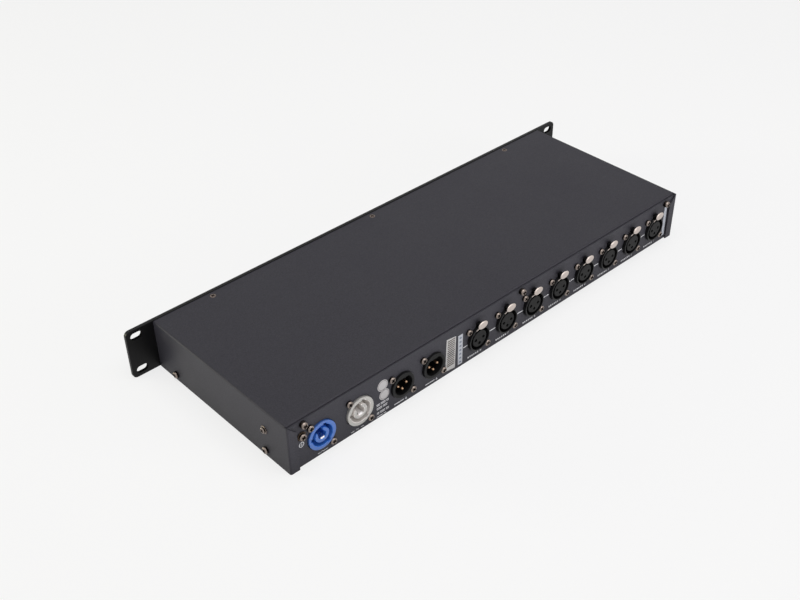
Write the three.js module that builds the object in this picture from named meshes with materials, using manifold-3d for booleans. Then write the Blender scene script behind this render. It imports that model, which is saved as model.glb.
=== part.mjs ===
// A rack-mount splitter for a lighting control signal, one rack unit high.
// The front panel with its two ears faces -Y. The rear wall with the power connectors,
// the two inputs and the eight outputs faces +Y. X runs along the width, +Z is up.
// All lengths are millimetres. Depths are first counted from the front face of the panel,
// and the whole group is then moved so that its origin is under the middle of its box.

import * as THREE from 'three';
import { mergeVertices } from 'three/addons/utils/BufferGeometryUtils.js';
import Module from 'manifold-3d';

const wasm = await Module();
wasm.setup();

// Gaps between neighbouring pieces, and how far a cutting shape runs past what it cuts
const clearance = 0.3;
const overrun = 1;

// Rack panel
const panelWidth = 482.6;
const panelHeight = 44;
const panelThickness = 3;
const panelCornerRadius = 4;
const earWidth = 23.85;
const slotFromEnd = 8.75;
const slotSpacingZ = 31.75;
const slotLength = 10.2;
const slotHeight = 6.2;

// Case: a folded cover over a folded tray
const caseBelowPanelTop = 0.5;
const caseDepth = 166.2;
const sheet = 1.2;
const bendRadius = 1.5;
const flangeWidth = 8.2;
const floorLift = 0.5;
const trayFlangeHeight = 12;
const trayFrontLip = 10;
const coverRearLip = 3.6;
const coverTabWidth = 12;
const coverTabBelowTop = 8;

// Case screws
const screwShankRadius = 1.5;
const screwLength = 6;
const screwHeadRadius = 2.8;
const screwHeadHeight = 2.4;
const rearHeadHeight = 3.8;
const headCrownShare = 0.8;
const sinkHeadRadius = 2.4;
const sinkHeadDepth = 1.5;
const topScrewFromSide = 51.85;
const topScrewBehindPanel = 4.8;
const rearScrewFromSide = 14.2;
const rearMiddleScrewShift = 0.9;
const rearScrewBelowTop = 5;
const sideScrewFrontY = 27;
const sideScrewFromRear = 27.2;
const sideScrewLowZ = 5.8;
const sideScrewHighZ = 25;
const sideTabWidth = 16;
const frontScrewFromSide = 17.45;
const earthScrewFromSide = 12.45;
const earthScrewBelowTop = 15;
const earthHeadRadius = 2.9;
const earthHeadHeight = 2.2;
const earthWasherRadius = 3.8;
const earthWasherThickness = 0.8;
const earthNutRadius = 3.6;
const earthNutThickness = 3;

// Signal connectors: spacing along the wall, height and the round shell that they share.
// The outputs fill the wall from the inputs on, up to the last one that fits.
const signalPitch = 31.6;
const inputFromOutlet = 41.3;
const outputFromInput = 48;
const lastOutputFromSide = 24;
const connectorBelowTop = 24.5;
const shellRadius = 10.9;
const inputProtrusion = 2.2;
const outputProtrusion = 2.8;
const shellDepth = 22;
const bodyWidth = 21.6;
const signalFlangeWidth = 26;
const signalFlangeHeight = 26.4;
const flangeThickness = 2.5;
const signalScrewOffset = 10.3;
const fixingShankRadius = 1.35;
const fixingHeadRadius = 2.7;
const fixingHeadHeight = 2.3;
const contactRadiusOnFace = 4.2;
const contactTailWidth = 1;
const contactTailPitch = 5;

// Output socket: ring groove round an insert with three holes
const grooveRadius = 9.8;
const insertRadius = 7.4;
const insertRecess = 0.4;
const grooveDepth = 15;
const contactHoleRadius = 1.35;
const contactHoleDepth = 13;

// Input socket: open cavity with three pins
const cavityRadius = 8.5;
const cavityDepth = 13;
const cavityFlatHeight = 6.9;
const pinRadius = 1.2;
const pinTipShare = 0.45;
const pinTipRecess = 1.2;
const pinTail = 4;

// Latch lever of an output: an oval tab outside, an arm and a hook inside
const tabWidth = 9.9;
const tabHeight = 6.6;
const tabThickness = 1;
const tabAboveAxis = 14.8;
const tabStandOff = 4.9;
const armWidth = 4;
const armThickness = 1.6;
const pivotAboveAxis = 12.6;
const pivotBehindWall = 4.4;
const pivotRadius = 1;
const hookBehindPivot = 5.4;
const hookDrop = 3.6;
const latchHousingWidth = 10.6;
const latchHousingTop = 19.6;
const latchHousingDepth = 14;

// Power connectors
const powerInletFromSide = 29.65;
const powerPitch = 35.3;
const ringRadius = 12.3;
const ringProtrusion = 1.7;
const recessRadius = 9.2;
const recessDepth = 14;
const keywayWidth = 3;
const keywayDepth = 0.9;
const keywayAngleDegrees = [1, 107, 235];
const hubRadius = 6.2;
const hubBoreRadius = 3.6;
const hubRecess = 0.4;
const hubSlotWidth = 5.6;
const hubSlotAngleDegrees = 68;
const powerBodyWidth = 23.6;
const powerBodyDepth = 25;
const powerFlangeWidth = 26;
const powerFlangeHeight = 30.4;
const powerScrewX = 9.5;
const powerScrewZ = 12;
const powerTabLength = 7;
const powerTabWidth = 6.3;
const powerTabThickness = 0.8;
const powerTabPitch = 7;
const centreContactWidth = 3.6;
const centreContactHeight = 2;
const centreContactDrop = 2.4;
const centreContactRecess = 0.8;

// Boards
const boardThickness = 1.6;
const boardLift = 3.7;
const pillarRadius = 3;
const pillarInset = 6;
const boardFromSide = 13.45;
const mainBoardPastInput = 14.8;
const mainBoardDepth = 94.7;
const mainBoardRearGap = 4;
const driverChipLength = 18;
const driverChipWidth = 10;
const driverChipHeight = 4;
const converterLength = 20;
const converterWidth = 12;
const converterHeight = 10;
const converterBehindChips = 17;
const componentRowFromEdge = 10;
const headerLength = 16;
const headerWidth = 5;
const headerHeight = 7;
const headerFromOutput = 11.6;

// Power supply on its own board
const supplyFromMainBoard = 12;
const supplyFrontY = 18;
const supplyFromPowerTabs = 28.4;
const transformerLength = 32;
const transformerWidth = 28;
const transformerHeight = 20;
const capacitorRadius = 8;
const capacitorHeight = 22;
const heatsinkThickness = 2;
const heatsinkHeight = 24;
const supplyInset = 8;
const terminalLength = 20;
const terminalWidth = 9;
const terminalHeight = 11;
const terminalPitch = 7;

// Indicator board, its lamps and the two buttons of the front panel
const lampRadius = 1.5;
const lampProtrusion = 0.8;
const lampSpacing = 12;
const lampGroupGap = 34;
const powerLampFromSide = 27.45;
const inputLampFromPower = 70;
const outputLampFromInput = 74;
const indicatorBoardBehindWall = 9;
const indicatorBoardAboveFloor = 6.3;
const indicatorBoardMargin = 10;
const buttonRadius = 4;
const buttonProtrusion = 2.4;
const buttonTravel = 1.5;
const buttonFlangeRadius = 5.4;
const buttonFlangeThickness = 1;
const buttonFromLamps = 17;
const switchHeight = 3.4;
const switchHalfWidth = 4;

// Leads inside the case
const mainsWireRadius = 1.2;
const wireSpread = 1.7;
const linkReach = 12;
const wireLead = 6;
const lowVoltageRadius = 1.6;
const lowVoltageRise = 9;
const ribbonThickness = 0.9;
const ribbonWidth = 14;

// Facets of round shapes
const fineSides = 20;
const coarseSides = 8;
const smallSides = 6;
const wireSides = 8;
const wireSteps = 8;
const cornerSegments = 3;

// Levels, planes and places worked out from the sizes above
const halfCase = panelWidth / 2 - earWidth;
const caseHeight = panelHeight - caseBelowPanelTop;
const connectorZ = caseHeight - connectorBelowTop;
const earthScrewZ = caseHeight - earthScrewBelowTop;
const coverFrontY = panelThickness + clearance;
const rearWallOuterY = caseDepth - sheet - clearance;
const rearWallInnerY = rearWallOuterY - sheet;
const coverLipOuterY = rearWallInnerY - clearance;
const coverUnderside = caseHeight - sheet;
const trayTopZ = coverUnderside - clearance;
const floorTopZ = floorLift + sheet;
const trayHalfWidth = halfCase - sheet - clearance;
const frontWallInnerY = coverFrontY + sheet;
const boardBottomZ = floorTopZ + boardLift + clearance;
const boardTopZ = boardBottomZ + boardThickness;
const panelMiddleZ = panelHeight / 2;
const lampRowZ = panelMiddleZ;
const indicatorBoardHeight = 2 * (lampRowZ - floorTopZ - indicatorBoardAboveFloor);
const panelSlotX = panelWidth / 2 - slotFromEnd;
const screwHoleRadius = screwShankRadius + clearance;
const rearScrewZ = caseHeight - rearScrewBelowTop;
const topScrewY = panelThickness + topScrewBehindPanel;
const sideScrewRearY = caseDepth - sideScrewFromRear;
const frontScrewX = halfCase - frontScrewFromSide;
const earthScrewX = halfCase - earthScrewFromSide;
const powerInletX = halfCase - powerInletFromSide;
const powerOutletX = powerInletX - powerPitch;
const inputBX = powerOutletX - inputFromOutlet;
const inputAX = inputBX - signalPitch;
const firstOutputX = inputAX - outputFromInput;
const outputRow = firstOutputX + halfCase - lastOutputFromSide;
const outputCount = Math.floor(outputRow / signalPitch) + 1;
const connectorFlangeFrontY = -sheet - clearance;
const connectorFlangeBackY = connectorFlangeFrontY - flangeThickness;
const indicatorBoardY = frontWallInnerY + indicatorBoardBehindWall;
const mainBoardLeftX = boardFromSide - halfCase;
const mainBoardRightX = inputBX + mainBoardPastInput;
const mainBoardRearY = rearWallInnerY - clearance - flangeThickness - mainBoardRearGap;
const mainBoardFrontY = mainBoardRearY - mainBoardDepth;
const headerX = firstOutputX - headerFromOutput;
const powerTabEndY = rearWallOuterY - powerBodyDepth - powerTabLength - clearance;
const supplyLeftX = mainBoardRightX + supplyFromMainBoard;
const supplyRightX = halfCase - boardFromSide;
const supplyRearY = powerTabEndY - supplyFromPowerTabs;
const supplyHeaderY = mainBoardFrontY + componentRowFromEdge;
const terminalX = supplyRightX - terminalLength / 2 - clearance;
const terminalY = supplyRearY - terminalWidth / 2;
const frontmostY = -buttonProtrusion;
const rearmostY = rearWallOuterY + tabStandOff + tabThickness;
const originY = (frontmostY + rearmostY) / 2;

const outputPlaces = Array.from({ length: outputCount });
const outputXs = outputPlaces.map((unused, index) => firstOutputX - index * signalPitch);
const rearMiddleScrewX = (outputXs[1] + outputXs[2]) / 2 - rearMiddleScrewShift;
const rearScrewXs = [halfCase - rearScrewFromSide, rearMiddleScrewX, rearScrewFromSide - halfCase];
const topScrewXs = [halfCase - topScrewFromSide, 0, topScrewFromSide - halfCase];
const sideScrewPlaces = [
  [sideScrewFrontY, sideScrewLowZ],
  [sideScrewRearY, sideScrewLowZ],
  [sideScrewRearY, sideScrewHighZ],
];
const signalScrewPlaces = [
  [signalScrewOffset, signalScrewOffset],
  [-signalScrewOffset, -signalScrewOffset],
];
const powerScrewPlaces = [[powerScrewX, powerScrewZ], [-powerScrewX, -powerScrewZ]];
const powerLampX = halfCase - powerLampFromSide;
const inputLampXs = [powerLampX - inputLampFromPower, powerLampX - inputLampFromPower - lampSpacing];
const lampsPerGroup = Math.ceil(outputCount / 2);
const lampGroupPitch = lampsPerGroup * lampSpacing + lampGroupGap;
const outputLampXs = outputXs.map((unused, index) => {
  const inGroup = index % lampsPerGroup;
  const group = Math.floor(index / lampsPerGroup);
  return inputLampXs[1] - outputLampFromInput - inGroup * lampSpacing - group * lampGroupPitch;
});
const lampXs = [powerLampX, ...inputLampXs, ...outputLampXs];
const buttonXs = [outputLampXs[0] + buttonFromLamps, outputLampXs[lampsPerGroup] + buttonFromLamps];

// Solids

function toSolid(geometry) {
  geometry.deleteAttribute('normal');
  geometry.deleteAttribute('uv');
  const merged = mergeVertices(geometry);
  const corners = Array.from(merged.index.array);
  const triangles = [];
  for (let start = 0; start < corners.length; start += 3) {
    const [a, b, c] = corners.slice(start, start + 3);
    if (a !== b && b !== c && c !== a) triangles.push(a, b, c);
  }
  const mesh = new wasm.Mesh({
    numProp: 3,
    vertProperties: new Float32Array(merged.attributes.position.array),
    triVerts: new Uint32Array(triangles),
  });
  return new wasm.Manifold(mesh);
}

function toGeometry(solid) {
  const mesh = solid.getMesh();
  const geometry = new THREE.BufferGeometry();
  geometry.setAttribute('position', new THREE.BufferAttribute(mesh.vertProperties, 3));
  geometry.setIndex(new THREE.BufferAttribute(mesh.triVerts, 1));
  geometry.computeVertexNormals();
  return geometry;
}

function joined(solids) {
  return solids.reduce((sum, solid) => sum.add(solid));
}

function cutBy(solid, cutters) {
  return cutters.reduce((rest, cutter) => rest.subtract(cutter), solid);
}

function box([x0, x1], [y0, y1], [z0, z1]) {
  const geometry = new THREE.BoxGeometry(x1 - x0, y1 - y0, z1 - z0);
  geometry.translate((x0 + x1) / 2, (y0 + y1) / 2, (z0 + z1) / 2);
  return toSolid(geometry);
}

// A disc or cone frustum along one axis, from start to end on that axis
function round(axis, [startRadius, endRadius], [start, end], [across, up], sides = coarseSides) {
  const geometry = new THREE.CylinderGeometry(endRadius, startRadius, end - start, sides);
  const middle = (start + end) / 2;
  if (axis === 'x') {
    geometry.rotateZ(-Math.PI / 2);
    geometry.translate(middle, across, up);
  } else if (axis === 'y') {
    geometry.translate(across, middle, up);
  } else {
    geometry.rotateX(Math.PI / 2);
    geometry.translate(across, up, middle);
  }
  return toSolid(geometry);
}

function rod(axis, radius, range, place, sides = coarseSides) {
  return round(axis, [radius, radius], range, place, sides);
}

// Outlines drawn in X and Z, pushed along Y
function pushedAlongY(outline, [y0, y1]) {
  const options = { depth: y1 - y0, bevelEnabled: false, curveSegments: cornerSegments };
  const geometry = new THREE.ExtrudeGeometry(outline, options);
  geometry.rotateX(Math.PI / 2);
  geometry.translate(0, y1, 0);
  return toSolid(geometry);
}

// Outlines drawn in X and Y, pushed along Z
function pushedAlongZ(outline, [z0, z1]) {
  const options = { depth: z1 - z0, bevelEnabled: false, curveSegments: cornerSegments };
  const geometry = new THREE.ExtrudeGeometry(outline, options);
  geometry.translate(0, 0, z0);
  return toSolid(geometry);
}

// Outlines drawn in Y and Z, pushed along X
function pushedAlongX(outline, [x0, x1]) {
  const options = { depth: x1 - x0, bevelEnabled: false, curveSegments: cornerSegments };
  const geometry = new THREE.ExtrudeGeometry(outline, options);
  geometry.applyMatrix4(new THREE.Matrix4().set(0, 0, 1, 0, 1, 0, 0, 0, 0, 1, 0, 0, 0, 0, 0, 1));
  geometry.translate(x0, 0, 0);
  return toSolid(geometry);
}

function outlineOf(points) {
  return new THREE.Shape(points.map(([a, b]) => new THREE.Vector2(a, b)));
}

// A rectangle with its own radius at each corner that has one, in the order
// low-left, low-right, high-right, high-left
function roundedRectangle([a0, a1], [b0, b1], radii) {
  const [lowLeft, lowRight, highRight, highLeft] = radii;
  const quarter = Math.PI / 2;
  const outline = new THREE.Shape();
  outline.moveTo(a0 + lowLeft, b0);
  outline.lineTo(a1 - lowRight, b0);
  if (lowRight) outline.absarc(a1 - lowRight, b0 + lowRight, lowRight, -quarter, 0);
  outline.lineTo(a1, b1 - highRight);
  if (highRight) outline.absarc(a1 - highRight, b1 - highRight, highRight, 0, quarter);
  outline.lineTo(a0 + highLeft, b1);
  if (highLeft) outline.absarc(a0 + highLeft, b1 - highLeft, highLeft, quarter, 2 * quarter);
  outline.lineTo(a0, b0 + lowLeft);
  if (lowLeft) outline.absarc(a0 + lowLeft, b0 + lowLeft, lowLeft, 2 * quarter, 3 * quarter);
  return outline;
}

function ovalOutline(width, height, [centreX, centreZ]) {
  const quarter = Math.PI / 2;
  const outline = new THREE.Shape();
  outline.moveTo(centreX + width / 2, centreZ);
  for (let turn = 0; turn < 4; turn += 1) {
    outline.absellipse(centreX, centreZ, width / 2, height / 2, turn * quarter, (turn + 1) * quarter);
  }
  return outline;
}

// A slot with round ends, drawn in X and Z
function slotOutline(length, height, [centreX, centreZ]) {
  const radius = height / 2;
  const [x0, x1] = [centreX - length / 2, centreX + length / 2];
  return roundedRectangle([x0, x1], [centreZ - radius, centreZ + radius], [radius, radius, radius, radius]);
}

// Case

function coverBlock(inset) {
  const half = halfCase - inset;
  const top = caseHeight - inset;
  const rear = caseDepth - inset;
  const front = inset ? coverFrontY - overrun : coverFrontY;
  const bottom = inset ? -overrun : 0;
  const radius = bendRadius - inset;
  const section = roundedRectangle([-half, half], [bottom, top], [0, 0, radius, radius]);
  const plan = roundedRectangle([-half, half], [front, rear], [0, 0, radius, radius]);
  return pushedAlongY(section, [front, rear]).intersect(pushedAlongZ(plan, [bottom, top]));
}

// What is open at the back of the cover, between its two flanges with their slanted tops
function coverRearOpening() {
  const inner = halfCase - flangeWidth;
  const slantFoot = caseHeight - flangeWidth;
  const outer = halfCase + overrun;
  const top = caseHeight + overrun;
  const outline = outlineOf([
    [-inner, -overrun],
    [inner, -overrun],
    [inner, slantFoot],
    [outer, top],
    [-outer, top],
    [-inner, slantFoot],
  ]);
  return pushedAlongY(outline, [coverLipOuterY, caseDepth + overrun]);
}

// The sharp rear edge of the top, taken off so that the bend into the lip is round
function coverRearBend() {
  const centreY = coverLipOuterY - bendRadius;
  const centreZ = caseHeight - bendRadius;
  const reach = halfCase - bendRadius;
  const corner = box([-reach, reach], [centreY, coverLipOuterY + overrun], [centreZ, caseHeight + overrun]);
  return corner.subtract(rod('x', bendRadius, [-halfCase, halfCase], [centreY, centreZ], fineSides));
}

function buildTopCover() {
  const lipY = [coverLipOuterY - sheet, coverLipOuterY];
  const lipX = [-trayHalfWidth + clearance, trayHalfWidth - clearance];
  const lip = box(lipX, lipY, [coverUnderside - coverRearLip, caseHeight - sheet / 2]);
  const tabs = rearScrewXs.map((x) => {
    const across = [x - coverTabWidth / 2, x + coverTabWidth / 2];
    return box(across, lipY, [caseHeight - coverTabBelowTop, coverUnderside]);
  });
  const sides = [-1, 1].flatMap((side) => sideScrewPlaces.map(([y, z]) => {
    const across = side > 0 ? [halfCase - sheet - overrun, halfCase + overrun]
      : [-halfCase - overrun, sheet + overrun - halfCase];
    return rod('x', screwHoleRadius, across, [y, z], smallSides);
  }));
  const sunkenZ = [caseHeight - sinkHeadDepth, caseHeight];
  const sunken = topScrewXs.map((x) => joined([
    round('z', [screwHoleRadius, sinkHeadRadius + clearance], sunkenZ, [x, topScrewY], fineSides),
    rod('z', screwHoleRadius, [coverUnderside - overrun, caseHeight], [x, topScrewY], smallSides),
    rod('z', sinkHeadRadius + clearance, [caseHeight, caseHeight + overrun], [x, topScrewY], fineSides),
  ]));
  const threaded = rearScrewXs.map((x) => rod('y', screwHoleRadius,
    [coverLipOuterY - sheet - overrun, coverLipOuterY + overrun], [x, rearScrewZ], smallSides));
  const shell = cutBy(coverBlock(0), [coverBlock(sheet), coverRearOpening()]);
  return cutBy(joined([shell, lip, ...tabs]), [coverRearBend(), ...sides, ...sunken, ...threaded]);
}

function connectorOpenings() {
  const through = [rearWallInnerY - overrun, rearWallOuterY + overrun];
  const hole = (radius, x, z, sides = smallSides) => rod('y', radius, through, [x, z], sides);
  const signalXs = [inputBX, inputAX, ...outputXs];
  const powerXs = [powerInletX, powerOutletX];
  const fixing = fixingShankRadius + clearance;
  const slotZ = [connectorZ + shellRadius, connectorZ + tabAboveAxis];
  const slotHalf = armWidth / 2 + clearance;
  return [
    ...signalXs.map((x) => hole(shellRadius + clearance, x, connectorZ, fineSides)),
    ...powerXs.map((x) => hole(ringRadius + clearance, x, connectorZ, fineSides)),
    ...signalXs.flatMap((x) => signalScrewPlaces.map(([a, b]) => hole(fixing, x + a, connectorZ + b))),
    ...powerXs.flatMap((x) => powerScrewPlaces.map(([a, b]) => hole(fixing, x + a, connectorZ + b))),
    ...outputXs.map((x) => box([x - slotHalf, x + slotHalf], through, slotZ)),
    ...rearScrewXs.map((x) => hole(screwHoleRadius, x, rearScrewZ)),
    hole(screwHoleRadius, earthScrewX, earthScrewZ),
  ];
}

function frontOpenings([y0, y1]) {
  const through = [y0 - overrun, y1 + overrun];
  const hole = (radius, x, sides) => rod('y', radius + clearance, through, [x, lampRowZ], sides);
  const lamps = lampXs.map((x) => hole(lampRadius, x, smallSides));
  const buttons = buttonXs.map((x) => hole(buttonRadius, x, fineSides));
  return [...lamps, ...buttons];
}

function buildBaseTray() {
  const width = [-trayHalfWidth, trayHalfWidth];
  const depth = [coverFrontY, rearWallOuterY];
  const floor = box(width, depth, [floorLift, floorTopZ]);
  const frontWall = box(width, [coverFrontY, frontWallInnerY], [floorLift, trayTopZ]);
  const rearWall = box(width, [rearWallInnerY, rearWallOuterY], [floorLift, trayTopZ]);
  const frontLip = box(width, [coverFrontY, coverFrontY + trayFrontLip], [trayTopZ - sheet, trayTopZ]);
  const sideFlanges = [-1, 1].flatMap((side) => {
    const across = side > 0 ? [trayHalfWidth - sheet, trayHalfWidth]
      : [-trayHalfWidth, sheet - trayHalfWidth];
    const tallY = [sideScrewRearY - sideTabWidth / 2, sideScrewRearY + sideTabWidth / 2];
    return [
      box(across, depth, [floorLift, floorLift + trayFlangeHeight]),
      box(across, tallY, [floorLift, sideScrewHighZ + sideTabWidth / 2]),
    ];
  });
  const sideHoles = [-1, 1].flatMap((side) => sideScrewPlaces.map(([y, z]) => {
    const middle = side * (trayHalfWidth - sheet / 2);
    const through = [middle - sheet - overrun, middle + sheet + overrun];
    return rod('x', screwHoleRadius, through, [y, z], smallSides);
  }));
  const lipHoles = topScrewXs.map((x) => rod('z', screwHoleRadius,
    [trayTopZ - sheet - overrun, trayTopZ + overrun], [x, topScrewY], smallSides));
  const panelHoles = [-1, 1].map((side) => rod('y', screwHoleRadius,
    [coverFrontY - overrun, frontWallInnerY + overrun], [side * frontScrewX, panelMiddleZ], smallSides));
  const tray = joined([floor, frontWall, rearWall, frontLip, ...sideFlanges]);
  const openings = [...connectorOpenings(), ...frontOpenings([coverFrontY, frontWallInnerY])];
  return cutBy(tray, [...openings, ...sideHoles, ...lipHoles, ...panelHoles]);
}

function buildFrontPanel() {
  const radii = [panelCornerRadius, panelCornerRadius, panelCornerRadius, panelCornerRadius];
  const outline = roundedRectangle([-panelWidth / 2, panelWidth / 2], [0, panelHeight], radii);
  const plate = pushedAlongY(outline, [0, panelThickness]);
  const through = [-overrun, panelThickness + overrun];
  const slots = [];
  for (const x of [-panelSlotX, panelSlotX]) {
    for (const z of [panelMiddleZ - slotSpacingZ / 2, panelMiddleZ + slotSpacingZ / 2]) {
      slots.push(pushedAlongY(slotOutline(slotLength, slotHeight, [x, z]), through));
    }
  }
  const sunken = [-1, 1].map((side) => {
    const place = [side * frontScrewX, panelMiddleZ];
    return joined([
      round('y', [sinkHeadRadius + clearance, screwHoleRadius], [0, sinkHeadDepth], place, fineSides),
      rod('y', screwHoleRadius, [0, panelThickness + overrun], place),
      rod('y', sinkHeadRadius + clearance, [-overrun, 0], place, fineSides),
    ]);
  });
  return cutBy(plate, [...slots, ...sunken, ...frontOpenings([0, panelThickness])]);
}

// Screws, each along +Y with its seat at zero and its shank towards -Y

function panHeadScrew(headRadius, headHeight, shankRadius, length) {
  return joined([
    round('y', [headRadius, headRadius * headCrownShare], [clearance, clearance + headHeight], [0, 0]),
    rod('y', shankRadius, [-length, clearance + headHeight / 2], [0, 0], smallSides),
  ]);
}

function sunkenScrew() {
  return joined([
    round('y', [screwShankRadius, sinkHeadRadius], [-sinkHeadDepth, 0], [0, 0]),
    rod('y', screwShankRadius, [-screwLength, -sinkHeadDepth / 2], [0, 0], smallSides),
  ]);
}

function earthScrew() {
  const washerTop = clearance + earthWasherThickness;
  const washer = rod('y', earthWasherRadius, [clearance, washerTop], [0, 0], fineSides);
  const headTop = washerTop + earthHeadHeight;
  const head = rod('y', earthHeadRadius, [clearance, headTop], [0, 0]);
  const nutFront = -sheet - clearance;
  const nut = rod('y', earthNutRadius, [nutFront - earthNutThickness, nutFront], [0, 0], smallSides);
  const shank = rod('y', screwShankRadius, [nutFront - earthNutThickness - clearance, headTop / 2], [0, 0]);
  return joined([washer, head, nut, shank]);
}

// Connectors, each with its axis on the origin and the outer face of the rear wall at zero

function connectorFixings(places, depth) {
  return places.map(([x, z]) => {
    const screw = panHeadScrew(fixingHeadRadius, fixingHeadHeight, fixingShankRadius, depth);
    return screw.translate([x, 0, z]);
  });
}

function contactTails() {
  const tailY = [contactTailPitch - shellDepth, contactTailPitch + contactTailWidth - shellDepth];
  const tailZ = [boardTopZ + clearance - connectorZ, -shellRadius / 2];
  return [-contactTailPitch, 0, contactTailPitch].map((x) => {
    return box([x - contactTailWidth / 2, x + contactTailWidth / 2], tailY, tailZ);
  });
}

function signalShell(protrusion) {
  const flangeX = [-signalFlangeWidth / 2, signalFlangeWidth / 2];
  const flangeZ = [-signalFlangeHeight / 2, signalFlangeHeight / 2];
  const bodySpan = [-bodyWidth / 2, bodyWidth / 2];
  return joined([
    rod('y', shellRadius, [connectorFlangeBackY, protrusion], [0, 0], fineSides),
    box(bodySpan, [-shellDepth, connectorFlangeBackY + clearance], bodySpan),
    box(flangeX, [connectorFlangeBackY, connectorFlangeFrontY], flangeZ),
    ...contactTails(),
  ]);
}

function contactPlaces() {
  return [[contactRadiusOnFace, 0], [-contactRadiusOnFace, 0], [0, -contactRadiusOnFace]];
}

function buildOutputSocket() {
  const insertFace = outputProtrusion - insertRecess;
  const grooveFloor = outputProtrusion - grooveDepth;
  const groove = rod('y', grooveRadius, [grooveFloor, outputProtrusion + overrun], [0, 0], fineSides)
    .subtract(rod('y', insertRadius, [grooveFloor - overrun, insertFace], [0, 0], fineSides));
  const holes = contactPlaces().map((place) => rod('y', contactHoleRadius,
    [insertFace - contactHoleDepth, insertFace + overrun], place, smallSides));
  const housing = box([-latchHousingWidth / 2, latchHousingWidth / 2],
    [connectorFlangeFrontY - latchHousingDepth, connectorFlangeFrontY], [shellRadius / 2, latchHousingTop]);
  const slotHalf = armWidth / 2 + clearance;
  const slotBack = connectorFlangeFrontY - latchHousingDepth + sheet;
  const slot = box([-slotHalf, slotHalf], [slotBack, connectorFlangeFrontY + overrun / 2],
    [insertRadius + clearance, latchHousingTop + overrun]);
  const axleHole = rod('x', pivotRadius + clearance, [-latchHousingWidth, latchHousingWidth],
    [-pivotBehindWall, pivotAboveAxis], smallSides);
  const solid = joined([signalShell(outputProtrusion), housing]);
  const hollow = cutBy(solid, [groove, ...holes, slot, axleHole]);
  return joined([hollow, ...connectorFixings(signalScrewPlaces, -connectorFlangeBackY)]);
}

function buildInputSocket() {
  const floorY = inputProtrusion - cavityDepth;
  const cavity = rod('y', cavityRadius, [floorY, inputProtrusion + overrun], [0, 0], fineSides)
    .subtract(box([-cavityRadius, cavityRadius], [floorY - overrun, inputProtrusion + 2 * overrun],
      [cavityFlatHeight, cavityRadius + overrun]));
  const seats = contactPlaces().map((place) => rod('y', pinRadius + clearance,
    [-shellDepth - overrun, floorY + overrun], place, smallSides));
  const hollow = cutBy(signalShell(inputProtrusion), [cavity, ...seats]);
  return joined([hollow, ...connectorFixings(signalScrewPlaces, -connectorFlangeBackY)]);
}

// A contact pin with a tapered tip, along Y
function buildPin() {
  const tip = inputProtrusion - pinTipRecess;
  const taper = pinRadius;
  return joined([
    rod('y', pinRadius, [-shellDepth - pinTail, tip - taper], [0, 0]),
    round('y', [pinRadius, pinRadius * pinTipShare], [tip - taper, tip], [0, 0]),
  ]);
}

// The lever with its pivot on the origin: hook behind, arm through the wall, oval tab in front
function buildLatch() {
  const tabBackY = tabStandOff + pivotBehindWall;
  const tabFrontY = tabBackY + tabThickness;
  const tabCentreZ = tabAboveAxis - pivotAboveAxis;
  const half = armThickness / 2;
  const hookBack = -hookBehindPivot;
  const arm = outlineOf([
    [hookBack - armThickness, half],
    [hookBack - armThickness, -hookDrop],
    [hookBack, half - hookDrop],
    [hookBack, -half],
    [0, -half],
    [tabBackY, tabCentreZ - half],
    [tabBackY + tabThickness / 2, tabCentreZ - half],
    [tabBackY + tabThickness / 2, tabCentreZ + half],
    [tabBackY, tabCentreZ + half],
    [0, half],
  ]);
  const plate = pushedAlongY(ovalOutline(tabWidth, tabHeight, [0, tabCentreZ]), [tabBackY, tabFrontY]);
  const axleHalf = latchHousingWidth / 2 - clearance;
  return joined([
    pushedAlongX(arm, [-armWidth / 2, armWidth / 2]),
    rod('x', pivotRadius, [-axleHalf, axleHalf], [0, 0], smallSides),
    plate,
  ]);
}

function powerKeyways(reachY) {
  return keywayAngleDegrees.map((degrees) => {
    const half = keywayWidth / 2;
    const key = box([0, recessRadius + keywayDepth], reachY, [-half, half]);
    return key.rotate([0, -degrees, 0]);
  });
}

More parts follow.
